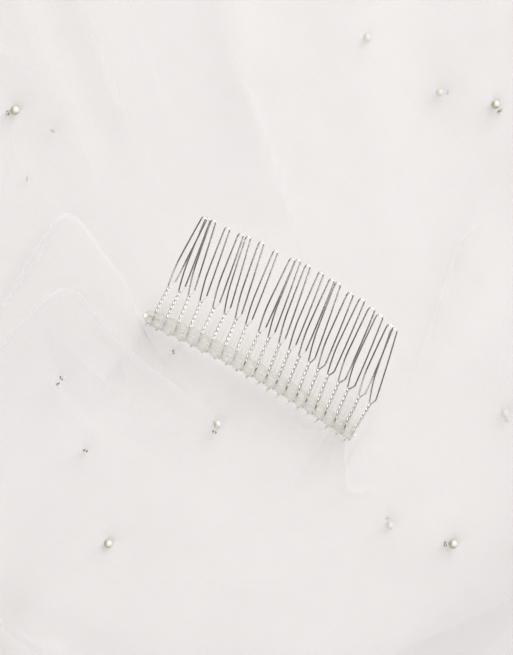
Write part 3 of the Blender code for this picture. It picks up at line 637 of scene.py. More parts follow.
RIM_FOLDS = (  # bearing at the rim, its sweep inwards, shares of the reach where it ends, height, widths
    (4, -9, 0.60, 0.99, 4.6, 6.0, 3.5), (9, 6, 0.70, 0.97, 3.2, 3.0, 5.0), (17, -12, 0.64, 1.00, 5.4, 7.5, 4.0),
    (24, 8, 0.74, 0.99, 3.0, 3.5, 3.5), (29, -5, 0.58, 0.93, 4.2, 5.0, 8.0), (38, 13, 0.66, 1.00, 5.0, 4.0, 7.0),
    (45, -8, 0.72, 0.98, 3.4, 6.0, 3.0), (54, 10, 0.56, 0.96, 4.8, 7.0, 5.0), (60, -13, 0.68, 1.00, 3.6, 3.0, 4.5),
    (66, 4, 0.76, 0.99, 2.8, 4.5, 3.0), (73, -10, 0.60, 0.97, 5.2, 5.0, 8.5), (81, 9, 0.66, 1.00, 4.0, 6.5, 3.5),
    (88, -6, 0.72, 0.96, 3.0, 3.0, 5.5), (96, 14, 0.58, 0.99, 5.6, 8.0, 5.0), (105, -9, 0.70, 1.00, 3.8, 4.0, 4.0),
    (111, 5, 0.62, 0.95, 4.4, 5.5, 7.0), (118, -12, 0.74, 0.99, 3.2, 3.5, 3.0), (127, 8, 0.57, 0.98, 5.0, 7.0, 4.5),
    (133, -5, 0.68, 1.00, 3.6, 4.0, 6.5), (142, 12, 0.64, 0.97, 4.6, 6.0, 3.5), (150, -10, 0.72, 0.99, 3.0, 3.0, 4.5),
    (156, 7, 0.58, 0.95, 5.2, 8.0, 6.0), (165, -13, 0.66, 1.00, 4.2, 4.5, 3.5), (171, 5, 0.75, 0.98, 2.8, 3.5, 5.0),
    (180, -8, 0.60, 0.99, 5.0, 6.5, 4.0), (188, 11, 0.70, 0.96, 3.4, 3.0, 6.0), (193, -6, 0.63, 1.00, 4.4, 5.0, 5.0),
    (201, 9, 0.56, 0.97, 5.4, 7.5, 4.0), (207, -12, 0.73, 0.99, 3.0, 4.0, 3.0), (216, 6, 0.65, 1.00, 4.6, 5.0, 7.5),
    (223, -9, 0.70, 0.97, 3.6, 3.5, 4.0), (230, 13, 0.66, 0.99, 3.8, 6.0, 3.5), (239, -7, 0.80, 1.00, 3.2, 4.0, 5.5),
    (247, 5, 0.82, 0.98, 2.6, 3.0, 4.0), (334, -6, 0.84, 1.00, 2.6, 4.0, 4.0), (345, 8, 0.80, 0.98, 3.2, 5.0, 3.5),
    (353, -10, 0.74, 1.00, 4.0, 4.0, 6.0),
)


def rim_folds():
    """Crests of the folds that run in from the heap's edge."""
    rows = []
    for bearing, sweep, inner, outer, height, left_width, right_width in RIM_FOLDS:
        ends = []
        for share, turned in ((outer, 0.0), ((inner + outer) / 2, 0.35 * sweep), (inner, sweep)):
            angle = radians(bearing + turned)
            ends.append(HEAP_MIDDLE + share * reach_at(angle % tau) * heading_at(angle))
        rows.append((*ends, height, left_width, right_width))
    return rows


def scattered_creases(seed, count, inner, outer):
    """Small creases over the spread cloth, most of them running outwards, no two alike."""
    draw = np.random.default_rng(seed)
    rows = []
    while len(rows) < count:
        bearing, middle = random_place(draw, inner, outer)
        heading = heading_at(bearing + draw.normal(0.0, 0.55))
        length = draw.uniform(14, 52)
        step = 0.5 * length * heading
        bow = draw.normal(0.0, 0.16) * length * left_of(heading)
        height = draw.uniform(0.5, 1.7)
        widths = draw.uniform(1.6, 5.5, 2)
        rows.append((middle - step, middle + bow, middle + step, height, *widths))
    return rows


HAND_PLACED = (88.0, 112.0)  # half width and half depth of the comb's surroundings


def keep_clear(x, y):
    """0 in the comb's surroundings, where creases are listed one by one, 1 well away from them."""
    return ease((np.maximum(np.abs(x) / HAND_PLACED[0], np.abs(y) / HAND_PLACED[1]) - 0.96) / 0.3)


def undulation(x, y, seed, wave):
    """Soft uneven swell between -1 and 1."""
    draw = np.random.default_rng(seed)
    total = np.zeros(np.shape(x))
    for _ in range(7):
        angle = draw.uniform(0, tau)
        length = wave * draw.uniform(0.6, 1.7)
        phase = draw.uniform(0, tau)
        total = total + np.sin((x * cos(angle) + y * sin(angle)) * tau / length + phase)
    return total / 4.2


# ---------------------------------------------------------------- the heap's sheets
SPOKES = 420
SINGLE = 0.42  # cover of one layer of tulle that lies flat
SHEER_COVER = 0.74  # cover of the inner layers under the uppermost stretch
BED_DROP = 3.2  # depth of the inner layers, room for a pearl
CORE_DROP = 9.0
GENTLE_SIDE = (264.0, 343.0, 26.0)  # bearings where the heap runs out smoothly, and their blend
GENTLE_RUN = 44.0  # width over which it comes down there
GENTLE_REACH = 14.0  # how much farther than its layers the uppermost stretch reaches there
FOLD_SHARE = 0.25  # height of the large folds beside the comb, as a share of their solids'
GATHERS_AND_PAINTED_SHADE = (  # where the uppermost stretch lies thicker or thinner, the cover it adds also painting shade: start, bend, end, cover it adds, widths
    ((-30, 130), (-20, 84), (6, 20), 0.07, 16, 13),
    ((42, 90), (50, 48), (52, 6), 0.05, 10, 10),
    ((-116, -44), (-80, -34), (-30, -22), 0.20, 30, 28),
    ((96, 60), (84, 0), (92, -70), 0.05, 12, 16),
)


def polar_points(bearings, distances):
    x = HEAP_MIDDLE[0] + distances * np.cos(bearings)
    y = HEAP_MIDDLE[1] + distances * np.sin(bearings)
    return x, y


def gentle(bearing):
    """1 where the heap's edge runs out smoothly, 0 where its layers show."""
    start, end, blend = GENTLE_SIDE
    at = (np.degrees(bearing) - start) % 360
    return ease(at / blend) * ease((end - start - at) / blend)


LEAST_LEVEL = 0.6  # the lowest cloth lies this far above the surface


def slack(x, y):
    """How far the limp cloth lies below the simple shape of its solids."""
    flatter = (1 - FOLD_SHARE) * crest_heights(FOLDS, x, y) * comb_rest(x, y) * (1 - keep_clear(x, y))
    bearing, reach_share, _ = heap_polar(x, y)
    reach = heap_rows(bearing)[0]
    left = (1 - reach_share) * reach + GENTLE_REACH
    run_out = gentle(bearing) * ease(1 - left / GENTLE_RUN)
    return flatter + 0.95 * run_out * (top_level(x, y) - flatter)


def top_surface(x, y):
    """Height of the uppermost stretch with its creases."""
    press = 0.35 + 0.65 * comb_rest(x, y)
    z = top_level(x, y) - slack(x, y) + 0.55 * WALL
    z += CREASE_SHARE * crest_heights(CREASES, x, y, sharpness=1.5, taper=0.35) * press
    z += crest_heights(SCATTERED, x, y, steps=8, sharpness=1.3, taper=0.4) * keep_clear(x, y)
    return np.maximum(z + 0.18 * undulation(x, y, 3, 34.0) * press, LEAST_LEVEL)


def polar_grid(rings, spokes, outer, inner):
    """Shares and plan points of rings out to the uppermost stretch's rim, or the heap's gentle one."""
    bearings = np.tile(np.linspace(0, tau, spokes, endpoint=False), (rings, 1))
    shares = np.linspace(outer, inner, rings)[:, None]
    reach = heap_rows(bearings)[0]
    rim = top_share(bearings) * reach
    return shares, *polar_points(bearings, shares * (rim + gentle(bearings) * (reach + GENTLE_REACH - rim)))


def make_top_sheet():
    rings = 160
    shares, x, y = polar_grid(rings, SPOKES, 1.0, 0.004)
    grid = np.stack([x, y, top_surface(x, y)], axis=-1)
    # extra cover here darkens the cloth: partly thicker cloth, partly painted shade
    single = SINGLE + crest_heights(GATHERS_AND_PAINTED_SHADE, x, y, sharpness=2.4, taper=0.3)
    density = cover(grid, True, single)
    rim = np.exp(-(((1 - shares) * rings / 0.9) ** 2))
    return add_sheet("top_fall_sheet", grid, density + 0.3 * rim, TULLE, 12, closed=True, pole=True)


def make_inner_sheet(name, drop, swell, density, turn, seed):
    """Layers that lie under the uppermost stretch."""
    _, x, y = polar_grid(76, 300, 0.985, 0.006)
    level = top_level(x, y) - slack(x, y)
    z = level - drop * np.clip(level / CROWN_LEVEL, 0.0, 1.0) + swell * undulation(x, y, seed, 26.0)
    grid = np.stack([x, y, np.maximum(z, LEAST_LEVEL / 2)], axis=-1)
    return add_sheet(name, grid, density, BED_TULLE, turn, closed=True, pole=True)


LAYER_PROFILE = (  # inset from the rim, share of the layer's height
    (16.0, 0.10), (12.0, 0.09), (8.0, 0.08), (4.5, 0.07), (2.0, 0.07), (0.7, 0.10), (0.1, 0.20), (0.0, 0.38),
    (0.35, 0.60), (1.2, 0.78), (3.0, 0.92), (6.0, 0.98), (9.0, 1.00), (12.0, 1.00),
)
LAYER_INWARD = 75.0  # how far a layer runs in under the next
LAYER_STEPS = 29
RUFFLES = (57, 49, 61)  # small waves round each layer's rim
INSET_PER_LAYER = 13.0  # how far in from a rim the next hidden layer starts
MOST_LAYERS = 6.0


def make_layer(index, name, turn):
    """One spread layer: turned under at its rim, round over the lip, then inwards under the next."""
    share, wander, waves, phase, top = LAYERS[index]
    floor = 0.0 if index == 0 else LAYERS[index - 1][4]
    bearing = np.linspace(0, tau, SPOKES, endpoint=False)
    reach, spread = heap_rows(bearing)
    rim = reach * (1 - (1 - share - wander * np.sin(waves * bearing + phase)) * spread)
    rows = []
    for inset, level in LAYER_PROFILE:
        rows.append((rim - inset * spread, floor + (top - floor) * level + 0 * rim, level))
    last_inset = LAYER_PROFILE[-1][0]
    for step in range(1, LAYER_STEPS + 1):
        inset = last_inset + (LAYER_INWARD - last_inset) * step / LAYER_STEPS
        rows.append((rim - inset * spread, top + 0 * rim, 1.0))
    frill = np.sin(RUFFLES[index] * bearing + 1.9 * np.sin(3 * bearing + index) + 0.8 * np.sin(8 * bearing))
    frill *= 0.45 + 0.55 * np.sin(5 * bearing + 2.0 * index) ** 2
    frill *= 1 - 0.8 * gentle(bearing)
    grid, depth = [], []
    for distance, height, level in rows:
        inset = rim - distance
        wave = frill * np.exp(-((inset / 9.0) ** 2))
        distance = distance - 1.3 * wave * level
        x, y = polar_points(bearing, distance)
        flute = flute_height(bearing, distance / reach)
        detail = crest_heights(SCATTERED, x, y, steps=8, sharpness=1.3, taper=0.4)
        swell = 0.5 * undulation(x, y, 20 + index, 22.0)
        lift = min(level * 1.6, 1.0)
        z = height + flute * max(lift, 0.35) + (detail + swell + 1.1 * wave) * lift
        grid.append(np.stack([x, y, np.maximum(z, floor + 0.3)], axis=-1))
        depth.append(inset * (level > 0.5))
    grid = np.array(grid)
    layers_below = 1 + np.array(depth) / INSET_PER_LAYER
    density = 1 - (1 - cover(grid, True, SINGLE)) ** np.clip(layers_below, 1.0, MOST_LAYERS)
    fade = np.ones(len(rows))
    fade[:4] = np.linspace(0.2, 1.0, 4)
    fade[-6:] = np.linspace(1.0, 0.0, 6)
    grid[..., 2] -= slack(grid[..., 0], grid[..., 1]) * np.clip(grid[..., 2] / CROWN_LEVEL, 0.0, 1.0)
    density = density * fade[:, None] * (1 - gentle(bearing))
    return add_sheet(name, grid, density, TULLE, turn, closed=True)


SCATTERED = scattered_creases(41, SPREAD_CREASES, 0.40, 0.97) + rim_folds()
top_sheet = own(make_top_sheet(), "tulle", "top_fall")
bed = own(make_inner_sheet("inner_layers_sheet", BED_DROP, 0.5, SHEER_COVER, 31, 9), "tulle")
core = own(make_inner_sheet("core_sheet", CORE_DROP, 0.8, 1.0, 57, 10), "tulle")
outer_layer = own(make_layer(0, "outer_layer_sheet", 47), "tulle", "under_layers")
middle_layer = own(make_layer(1, "middle_layer_sheet", 71), "tulle")
inner_layer = own(make_layer(2, "upper_layer_sheet", 8), "tulle")


# ---------------------------------------------------------------- laid folds
def surface_under(pieces):
    """A tree of several pieces' faces, for finding what lies uppermost."""
    points, faces = [], []
    for piece in pieces:
        start = len(points)
        points.extend(vertex.co.copy() for vertex in piece.data.vertices)
        faces.extend([start + corner for corner in polygon.vertices] for polygon in piece.data.polygons)
    return BVHTree.FromPolygons(points, faces, epsilon=0.0)


def solid_top(tree, x, y, missing):
    """Upper surface under plan points, in millimetres."""
    levels = np.full(x.shape, np.nan)
    for index in np.ndindex(x.shape):
        place = to_world([x[index], y[index], ABOVE])
        hit = tree.ray_cast(Vector(place), Vector((0, 0, -1)))[0]
        if hit is not None:
            levels[index] = hit.z / MM
    return np.where(np.isnan(levels), missing, levels)


def smoothed(levels, rounds):
    for _ in range(rounds):
        padded = np.pad(levels, 1, mode="edge")
        levels = (padded[:-2, 1:-1] + padded[2:, 1:-1] + padded[1:-1, :-2] + padded[1:-1, 2:] + 2 * levels) / 6
    return levels


PANELS = {  # each fold's far edge and near edge on the plan
    "left_flap": (
        ((-136, -23), (-108, -12), (-88, 7), (-75, 28), (-64, 39), (-51, 24), (-43, 12), (-40, 0)),
        ((-146, -50), (-130, -69), (-110, -80), (-88, -80), (-66, -70), (-46, -56), (-28, -46), (-12, -36)),
    ),
    "left_inner_flap": (
        ((-92, -16), (-84, -2), (-77, 5), (-68, 13), (-61, 12.5), (-54, 4), (-48, -4)),
        ((-98, -30), (-88, -36), (-78, -38), (-68, -36), (-58, -31), (-50, -26), (-44, -19)),
    ),
    "side_fold": (
        ((140, 176), (132, 136), (130, 98), (134, 60), (138, 24), (136, -12), (128, -42)),
        ((141, 178), (160, 146), (171, 104), (174, 62), (170, 22), (158, -14), (130, -43)),
    ),
    "back_fold": (
        ((-196, 150), (-152, 182), (-112, 204), (-66, 214), (-20, 212), (26, 204), (72, 196)),
        ((-197, 152), (-168, 214), (-122, 250), (-68, 268), (-14, 264), (34, 238), (73, 198)),
    ),
    "front_fold": (
        ((-232, -10), (-196, -44), (-164, -74), (-128, -100), (-86, -118), (-44, -128), (-4, -138)),
        ((-233, -12), (-218, -74), (-180, -116), (-134, -142), (-86, -154), (-42, -154), (-4, -140)),
    ),
    "corner_flap": (
        ((29.6, -36), (34, -27), (39, -18), (45, -12)),
        ((31, -56), (34, -57), (38, -56), (43, -53.5)),
    ),
}
PANEL_EASE = 1.25  # above 1 the rows crowd towards the far edge
PANEL_INSET = 0.02  # its solid's height is taken this share further in, clear of the solid's edge
PANEL_SMOOTHING = 40
PANEL_DROP = 0.6  # it lies this far below its solid's smoothed top
CORNER_COVER = 0.55
CLEARANCES = {"left_flap": 0.45, "left_inner_flap": 1.1, "corner_flap": 0.4}  # least height over the top fall


def make_panel(node_name, rows, columns, turn, single, far_edge_cover, near_fade, seed):
    """A fold laid over the heap: its far edge doubled over, its near side sunk into the cloth."""
    far, near = (smooth_path(edge, columns) for edge in PANELS[node_name])
    share = np.linspace(0, 1, rows)[:, None, None]
    plan = far * (1 - share**PANEL_EASE) + near * share**PANEL_EASE
    x, y = plan[..., 0], plan[..., 1]
    inner = plan + (plan.mean(axis=(0, 1)) - plan) * PANEL_INSET
    levels = solid_top(surface_under([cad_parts[node_name]]), inner[..., 0], inner[..., 1], np.nan)
    levels = np.where(np.isnan(levels), np.nanmean(levels), levels)
    levels = smoothed(levels, PANEL_SMOOTHING) - PANEL_DROP - slack(x, y)
    levels += 0.25 * undulation(x, y, seed, 24.0)
    if node_name in CLEARANCES:
        levels = np.maximum(levels, top_surface(x, y) + CLEARANCES[node_name])
    grid = np.stack([x, y, levels], axis=-1)
    density = np.minimum(cover(grid, False, single), 1.5 * single)
    across = np.linspace(0, 1, rows)[:, None]
    along = np.linspace(0, 1, columns)[None, :]
    if node_name == "corner_flap":
        density = density * CORNER_COVER * ease((1 - along) / 0.7)
        density = density + far_edge_cover * np.exp(-((along * columns / 1.5) ** 2)) * ease(across / 0.3)
    else:
        density = density + far_edge_cover * np.exp(-((across * rows / 1.6) ** 2))
        density = density * ease((1 - across) / near_fade)
        density = density * ease(np.minimum(along, 1 - along) / 0.12) ** 0.5
    facing_down = (far[-1] - far[0]) @ left_of((near - far)[0]) > 0
    piece = add_sheet(f"{node_name}_sheet", grid, density, TULLE, turn, upward=not facing_down)
    return own(piece, "tulle", node_name)


flaps = [
    make_panel("left_flap", 70, 170, 25, 0.05, 0.36, 0.55, 61),
    make_panel("left_inner_flap", 44, 110, 52, 0.04, 0.28, 0.6, 62),
    make_panel("side_fold", 40, 120, 80, 0.5, 0.2, 0.3, 63),
    make_panel("back_fold", 40, 150, 15, 0.5, 0.2, 0.3, 64),
    make_panel("front_fold", 40, 150, 66, 0.5, 0.2, 0.3, 65),
    make_panel("corner_flap", 60, 40, 40, 0.30, 0.16, 0.0, 66),
]

# ---------------------------------------------------------------- pleats
PLEATS = (  # start, bend, end, width to the left of the way along, cover at its crisp edge
    ((-66, 126), (-48, 82), (-28, 36), -30, 0.07),
    ((-15, 106), (7, 64), (16, 18), 26, 0.08),
    ((-88, 44), (-87, 58), (-82, 74), -6, 0.10),
    ((-102, -12), (-80, 14), (-64, 38), 16, 0.20),
    ((49, -26), (60, 0), (68, 31), -13, 0.08),
    ((58, -12), (66, 28), (86, 58), -14, 0.06),
    ((68, 18), (67, 31), (79, 36), -5, 0.08),
    ((88, -40), (78, -10), (92, 22), 9, 0.05),
    ((-64, 11), (-42, -10), (-17, -27), 12, 0.06),
    ((-19, -27), (-4, -34), (31, -36), 14, 0.14),
    ((-70, 0), (-50, -26), (-8, -44), -12, 0.04),
    ((6, -60), (22, -44), (31, -24), -9, 0.10),
    ((-94, -96), (-82, -103), (-66, -116), 8, 0.20),
    ((-94, -97), (-83, -105), (-68, -119), -18, 0.20),
    ((-78, -70), (-40, -90), (12, -88), 10, 0.04),
    ((104, -84), (84, -97), (48, -112), 16, 0.06),
    ((-122, 132), (-98, 98), (-74, 86), 14, 0.22),
    ((-152, 62), (-130, 54), (-98, 62), -12, 0.22),
    ((-150, 14), (-124, 24), (-104, 22), 12, 0.22),
    ((-32, 166), (-36, 140), (-22, 120), 12, 0.22),
    ((12, 170), (20, 144), (8, 124), -14, 0.22),
    ((64, 172), (54, 148), (68, 128), 13, 0.22),
    ((108, 124), (98, 102), (114, 86), -12, 0.22),
)
PLEAT_STEPS = 44
PLEAT_ROWS = 7
PLEAT_RISE = 0.45
SPREAD_PLEATS = 62


def scattered_pleats(seed, count):
    """More pleats over the outer cloth, most of them running outwards, no two alike."""
    draw = np.random.default_rng(seed)
    rows = []
    while len(rows) < count:
        bearing, middle = random_place(draw, 0.45, 0.93)
        if keep_clear(*middle) < 0.9:
            continue
        heading = heading_at(bearing + draw.normal(0.0, 0.7))
        step = draw.uniform(12, 34) * heading
        bow = draw.normal(0.0, 9.0) * left_of(heading)
        width = draw.uniform(7, 17) * draw.choice([-1, 1])
        rows.append((middle - step, middle + bow, middle + step, width, draw.uniform(0.12, 0.22)))
    return rows


def make_pleats():
    """Narrow doubled strips: crisp along one side, lost in the cloth on the other."""
    uppermost = surface_under([top_sheet, outer_layer, middle_layer, inner_layer, *flaps[:5]])
    along = np.linspace(0, 1, PLEAT_STEPS)
    across = np.linspace(0, 1, PLEAT_ROWS)[:, None]
    taper = ease(along / 0.35) * ease((1 - along) / 0.35)
    grids, densities = [], []
    for start, bend, end, width, edge_cover in (*PLEATS, *scattered_pleats(77, SPREAD_PLEATS)):
        path = bent_path(start, bend, end, PLEAT_STEPS)
        ahead = np.gradient(path, axis=0)
        ahead /= np.linalg.norm(ahead, axis=1)[:, None]
        aside = np.stack([-ahead[:, 1], ahead[:, 0]], axis=-1)
        reach = width * across * (0.3 + 0.7 * taper)
        plan = path[None] + aside[None] * reach[..., None]
        levels = smoothed(solid_top(uppermost, plan[..., 0], plan[..., 1], 1.0), 3)
        levels = levels + PLEAT_RISE * np.sin(pi * (0.15 + 0.85 * across))
        grid = np.dstack([plan, levels])
        grids.append(grid[::-1] if width > 0 else grid)
        density = edge_cover * (1 - across) ** 1.3 * taper
        densities.append(density[::-1] if width > 0 else density)
    return add_strips("pleat_sheets", grids, densities, TULLE, 44)


pleats = own(make_pleats(), "tulle")


# ---------------------------------------------------------------- the comb
def comb_points(along, across, height):
    """Plan and height from the comb's own frame."""
    along, across, height = np.broadcast_arrays(along, across, height)
    x = COMB_MIDDLE[0] + along * COMB_ALONG[0] + across * COMB_ACROSS[0]
    y = COMB_MIDDLE[1] + along * COMB_ALONG[1] + across * COMB_ACROSS[1]
    return np.stack([x, y, COMB_LEVEL + height], axis=-1)


def bar_across(along):
    return BAR_SET + BAR_BOW * (1 - (2 * along / BAR_LENGTH) ** 2) + BAR_DROOP * along


def bar_height(along):
    return BAR_ARCH * (1 - (2 * along / BAR_LENGTH) ** 2)


def circle_curve(tree, sides, radius):
    links = [("Resolution", sides), ("Radius", radius)]
    return node(tree, "GeometryNodeCurvePrimitiveCircle", links).outputs["Curve"]


def tube_along(tree, curve, profile, **caps):
    links = [("Curve", curve), ("Profile Curve", profile), *caps.items()]
    return node(tree, "GeometryNodeCurveToMesh", links).outputs[0]


def pass_out(tree, shape, given, result):
    """Ends a geometry tree: one plain mesh with the finish that it was given."""
    whole = node(tree, "GeometryNodeRealizeInstances", [("Geometry", shape)]).outputs[0]
    done = node(tree, "GeometryNodeSetMaterial", [("Geometry", whole), ("Material", given.outputs["Finish"])])
    tree.links.new(done.outputs[0], result.inputs["Geometry"])
    return tree


def make_wire_tree():
    """Round wire along every chain of edges."""
    ins = [("Geometry", GEOMETRY, None), ("Radius", FLOAT, 0.00038), ("Sides", WHOLE, 8), ("Finish", FINISH, None)]
    tree, given, result = new_group("round_wire", "GeometryNodeTree", ins, [("Geometry", GEOMETRY)])
    curve = node(tree, "GeometryNodeMeshToCurve", [("Mesh", given.outputs["Geometry"])]).outputs[0]
    profile = circle_curve(tree, given.outputs["Sides"], given.outputs["Radius"])
    tube = tube_along(tree, curve, profile, **{"Fill Caps": True})
    smooth = node(tree, "GeometryNodeSetShadeSmooth", [("Geometry", tube)]).outputs[0]
    return pass_out(tree, smooth, given, result)


def evaluated(piece, tree, **values):
    """Runs a geometry tree on a piece and keeps the result as its plain mesh."""
    modifier = piece.modifiers.new("shape", "NODES")
    modifier.node_group = tree
    for item in tree.interface.items_tree:
        if item.in_out == "INPUT" and item.name in values:
            modifier[item.identifier] = values[item.name]
    bpy.context.view_layer.update()
    depsgraph = bpy.context.evaluated_depsgraph_get()
    mesh = bpy.data.meshes.new_from_object(piece.evaluated_get(depsgraph))
    piece.modifiers.remove(modifier)
    raw, piece.data = piece.data, mesh
    bpy.data.meshes.remove(raw)
    mesh.name = piece.name
    return piece


WIRE_TREE = make_wire_tree()


def wires(name, paths, radius, sides, material, painted_highlight=None):
    """One mesh of round wires along paths of plan points, with the highlight painted at each of them."""
    points, edges = [], []
    for path in paths:
        start = len(points)
        points.extend(to_world(path).tolist())
        edges.extend((start + i, start + i + 1) for i in range(len(path) - 1))
    mesh = bpy.data.meshes.new(name)
    mesh.from_pydata(points, edges, [])
    if painted_highlight is not None:
        set_attribute(mesh, "painted_highlight", np.clip(np.concatenate(painted_highlight), 0.0, 1.0))
    return evaluated(linked(name, mesh), WIRE_TREE, Radius=radius * MM, Sides=sides, Finish=material)


def tooth_height(root, stagger, share):
    drop = (bar_height(root) + TIP_DROP) * share
    bent_up = stagger * ease((share - STEM_SHARE) / STAGGER_RAMP)
    return bar_height(root) - drop + TOOTH_RISE * np.sin(pi * share) + bent_up


STRAND = 0.30  # radius of the wire
STRAND_STEPS = 64
TWIST_PITCH = 3.3
STEM_FOOT = 1.2  # a stem leaves the bar here
STEM_FORK = 2.6 + STEM_LENGTH  # and its two wires part here
LEG_OPENINGS = (0.42, 0.075)  # share of each leg's length over which it bends out
BEND_HIGHLIGHT = 3.0  # length of highlight painted at the foot of a tooth's second leg
# highlight painted on the round tip of each loop
TIP_HIGHLIGHT = 0.50


def stem_highlight(index, wide):
    """Painted highlight of the twisted wires: painted bright on one flank of each twist and darker on the other,
    fainter from tooth to tooth.
    """
    share = float(ease((index - 5) / 7))
    base = 0.50 * (1 - share) + 0.10 * share
    return base + (0.72 - 1.0 * share) * wide


def leg_highlight(index, side, distance, length):
    """Painted highlight of one leg: its foot and tip are painted bright, the rest keeps a low base tone."""
    from_tip = length - distance
    # the second leg's base tone is painted a little lighter than the first's
    base_tone = 0.02 if side < 0 else 0.09
    tip = TIP_HIGHLIGHT * ease(1 - from_tip / 1.6)
    if side < 0:
        foot = 0.42 * ease(1 - distance / 7.0)
    else:
        # a bright bend painted at the second leg's foot, fading out on the later teeth
        foot = 0.95 * ease((BEND_HIGHLIGHT + 0.4 - distance) / 0.5) * (1 - 0.85 * ease((index - 12) / 3))
    return np.maximum(np.maximum(base_tone, tip), foot)


def stem_strands(index, root, stagger, foot, fork):
    """Points and painted highlight of the two wires that are twisted into a tooth's stem."""
    length = np.hypot(*(fork - foot))
    aside = -left_of((fork - foot) / length)
    turns = length / TWIST_PITCH
    share = np.linspace(0, 1, STRAND_STEPS)
    angle = pi * 0.5 - tau * turns + tau * turns * share + 0.25 * np.sin(index * 1.7)
    middle = foot * (1 - share[:, None]) + fork * share[:, None]
    height = tooth_height(root, stagger, STEM_SHARE * share)
    # highlight painted where the stem leaves the bar, fainter on the later teeth
    foot_highlight = 0.9 * ease(1 - (share - 0.02) / 0.12) * (1 - 0.8 * ease((index - 8) / 5))
    strands, painted_highlight = [], []
    for side in (0, pi):
        wide = np.cos(angle + side - pi / 2)
        high = np.sin(angle + side - pi / 2)
        plan = middle + 0.98 * STRAND * aside * wide[:, None]
        strands.append(comb_points(*plan.T, height + 0.98 * STRAND * high))
        # each strand is painted lighter on one flank of the twist than on the other
        painted_highlight.append(np.maximum(stem_highlight(index, wide), foot_highlight))
    return strands, painted_highlight


def tooth_path(index, root, fork, tip, tip_across, loop):
    """One wire from its end over the bar, up the twist, round the loop and back down the twist."""
    stagger = TOOTH_STAGGER * ((index + 1) % 2)
    foot = np.array([root, bar_across(root) + STEM_FOOT])
    start = np.array([fork, bar_across(root) + STEM_FORK])
    strands, strand_highlights = stem_strands(index, root, stagger, foot, start)
    end = np.array([tip, tip_across])
    length = np.hypot(*(end - start))
    ahead = (end - start) / length
    aside = -left_of(ahead)
    tip_radius = 0.36 * loop
    straight = length - tip_radius - WIRE_RADIUS
    share = np.concatenate([np.linspace(0.03, 0.14, 12), np.linspace(0.16, 1, 30)])
    widest = loop / 2 * (1 - 0.28 * share**2)
    legs, painted_highlight = [], []
    for side, opening in zip((-1, 1), LEG_OPENINGS):
        opened = np.clip((share - 0.01) / opening, 0, 1)
        half = STRAND + (widest - STRAND) * (np.sin(pi / 2 * opened) if side < 0 else opened)
        half[-1] = tip_radius
        half[-2] = (half[-1] + half[-3]) / 2
        plan = start + ahead * straight * share[:, None] + side * aside * half[:, None]
        level = tooth_height(root, stagger, STEM_SHARE + (1 - STEM_SHARE) * share)
        legs.append(comb_points(*plan.T, level))
        painted_highlight.append(leg_highlight(index, side, straight * share, straight))
    turn = np.linspace(0, pi, 12)[1:-1]
    outward = -aside * np.cos(turn)[:, None] + ahead * np.sin(turn)[:, None]
    cap = start + ahead * straight + outward * tip_radius
    cap = comb_points(*cap.T, tooth_height(root, stagger, 1.0))
    path = np.vstack([strands[0], legs[0], cap, legs[1][::-1], strands[1][::-1]])
    # the loop's cap is painted with the tip highlight
    tip_highlight = np.full(len(cap), TIP_HIGHLIGHT)
    shares = (strand_highlights[0], painted_highlight[0], tip_highlight, painted_highlight[1][::-1], strand_highlights[1][::-1])
    return path, np.concatenate(shares)


tooth_paths, tooth_highlights = zip(*(tooth_path(index, *row) for index, row in enumerate(TEETH)))
tooth_wires = wires("comb_teeth", tooth_paths, STRAND, 8, WIRE, tooth_highlights)
own(tooth_wires, "silver_wire", *[f"tooth_{n:02d}" for n in range(1, 21)])

bar_places = np.linspace(-BAR_LENGTH / 2, BAR_LENGTH / 2, 90)
bar_path = comb_points(bar_places, bar_across(bar_places), bar_height(bar_places))
bar_wire = wires("comb_bar", [bar_path], 0.6, 12, WIRE, [np.zeros(len(bar_path))])
own(bar_wire, "silver_wire", "spine_bar")

UPPER_BAR = 2.3  # distance of the thin second bar from the first
UPPER_BAR_DROP = 0.55
WRAP_HEIGHTS = (0.85, 1.62)  # height of a tooth's end over the bar, inside the ribbon and round it
FIRST_WRAP_OUTSIDE = 8  # teeth before this one have their ends inside the ribbon
WRAP_FOOT = (0.0, 2.4, 0.35)  # where an end leaves its stem: along, across and above its root
WRAP_ROUTE = (  # its way over the ribbon: along and across from its root, depth below the wrap's top
    (0.04, 1.7, 0.35), (0.1, 0.8, 0.0), (0.2, -0.4, 0.0), (0.3, -1.5, 0.3), (0.22, -2.3, 1.0), (0.1, -2.6, 1.9),
)


def wire_ends(index, root):
    """A tooth's two ends: one laid over the ribbon, the other a stub below it."""
    across, height = bar_across(root), bar_height(root)
    over = WRAP_HEIGHTS[index >= FIRST_WRAP_OUTSIDE]
    route = (WRAP_FOOT, *((off, beyond, over - down) for off, beyond, down in WRAP_ROUTE))
    knots = np.array([(root + off, across + beyond, height + up) for off, beyond, up in route])
    wrap = smooth_path(knots, 26)
    stub_length = 1.0 + 0.55 * float(ease((index - 7) / 5))
    stub = np.array([root - 0.7, across - 1.9]) - stub_length * bent_path((0, 0), (0.3, 0.8), (0.6, 1.5), 6)
    return comb_points(*wrap.T), comb_points(*stub.T, height + np.linspace(-0.7, 0.35, len(stub)))


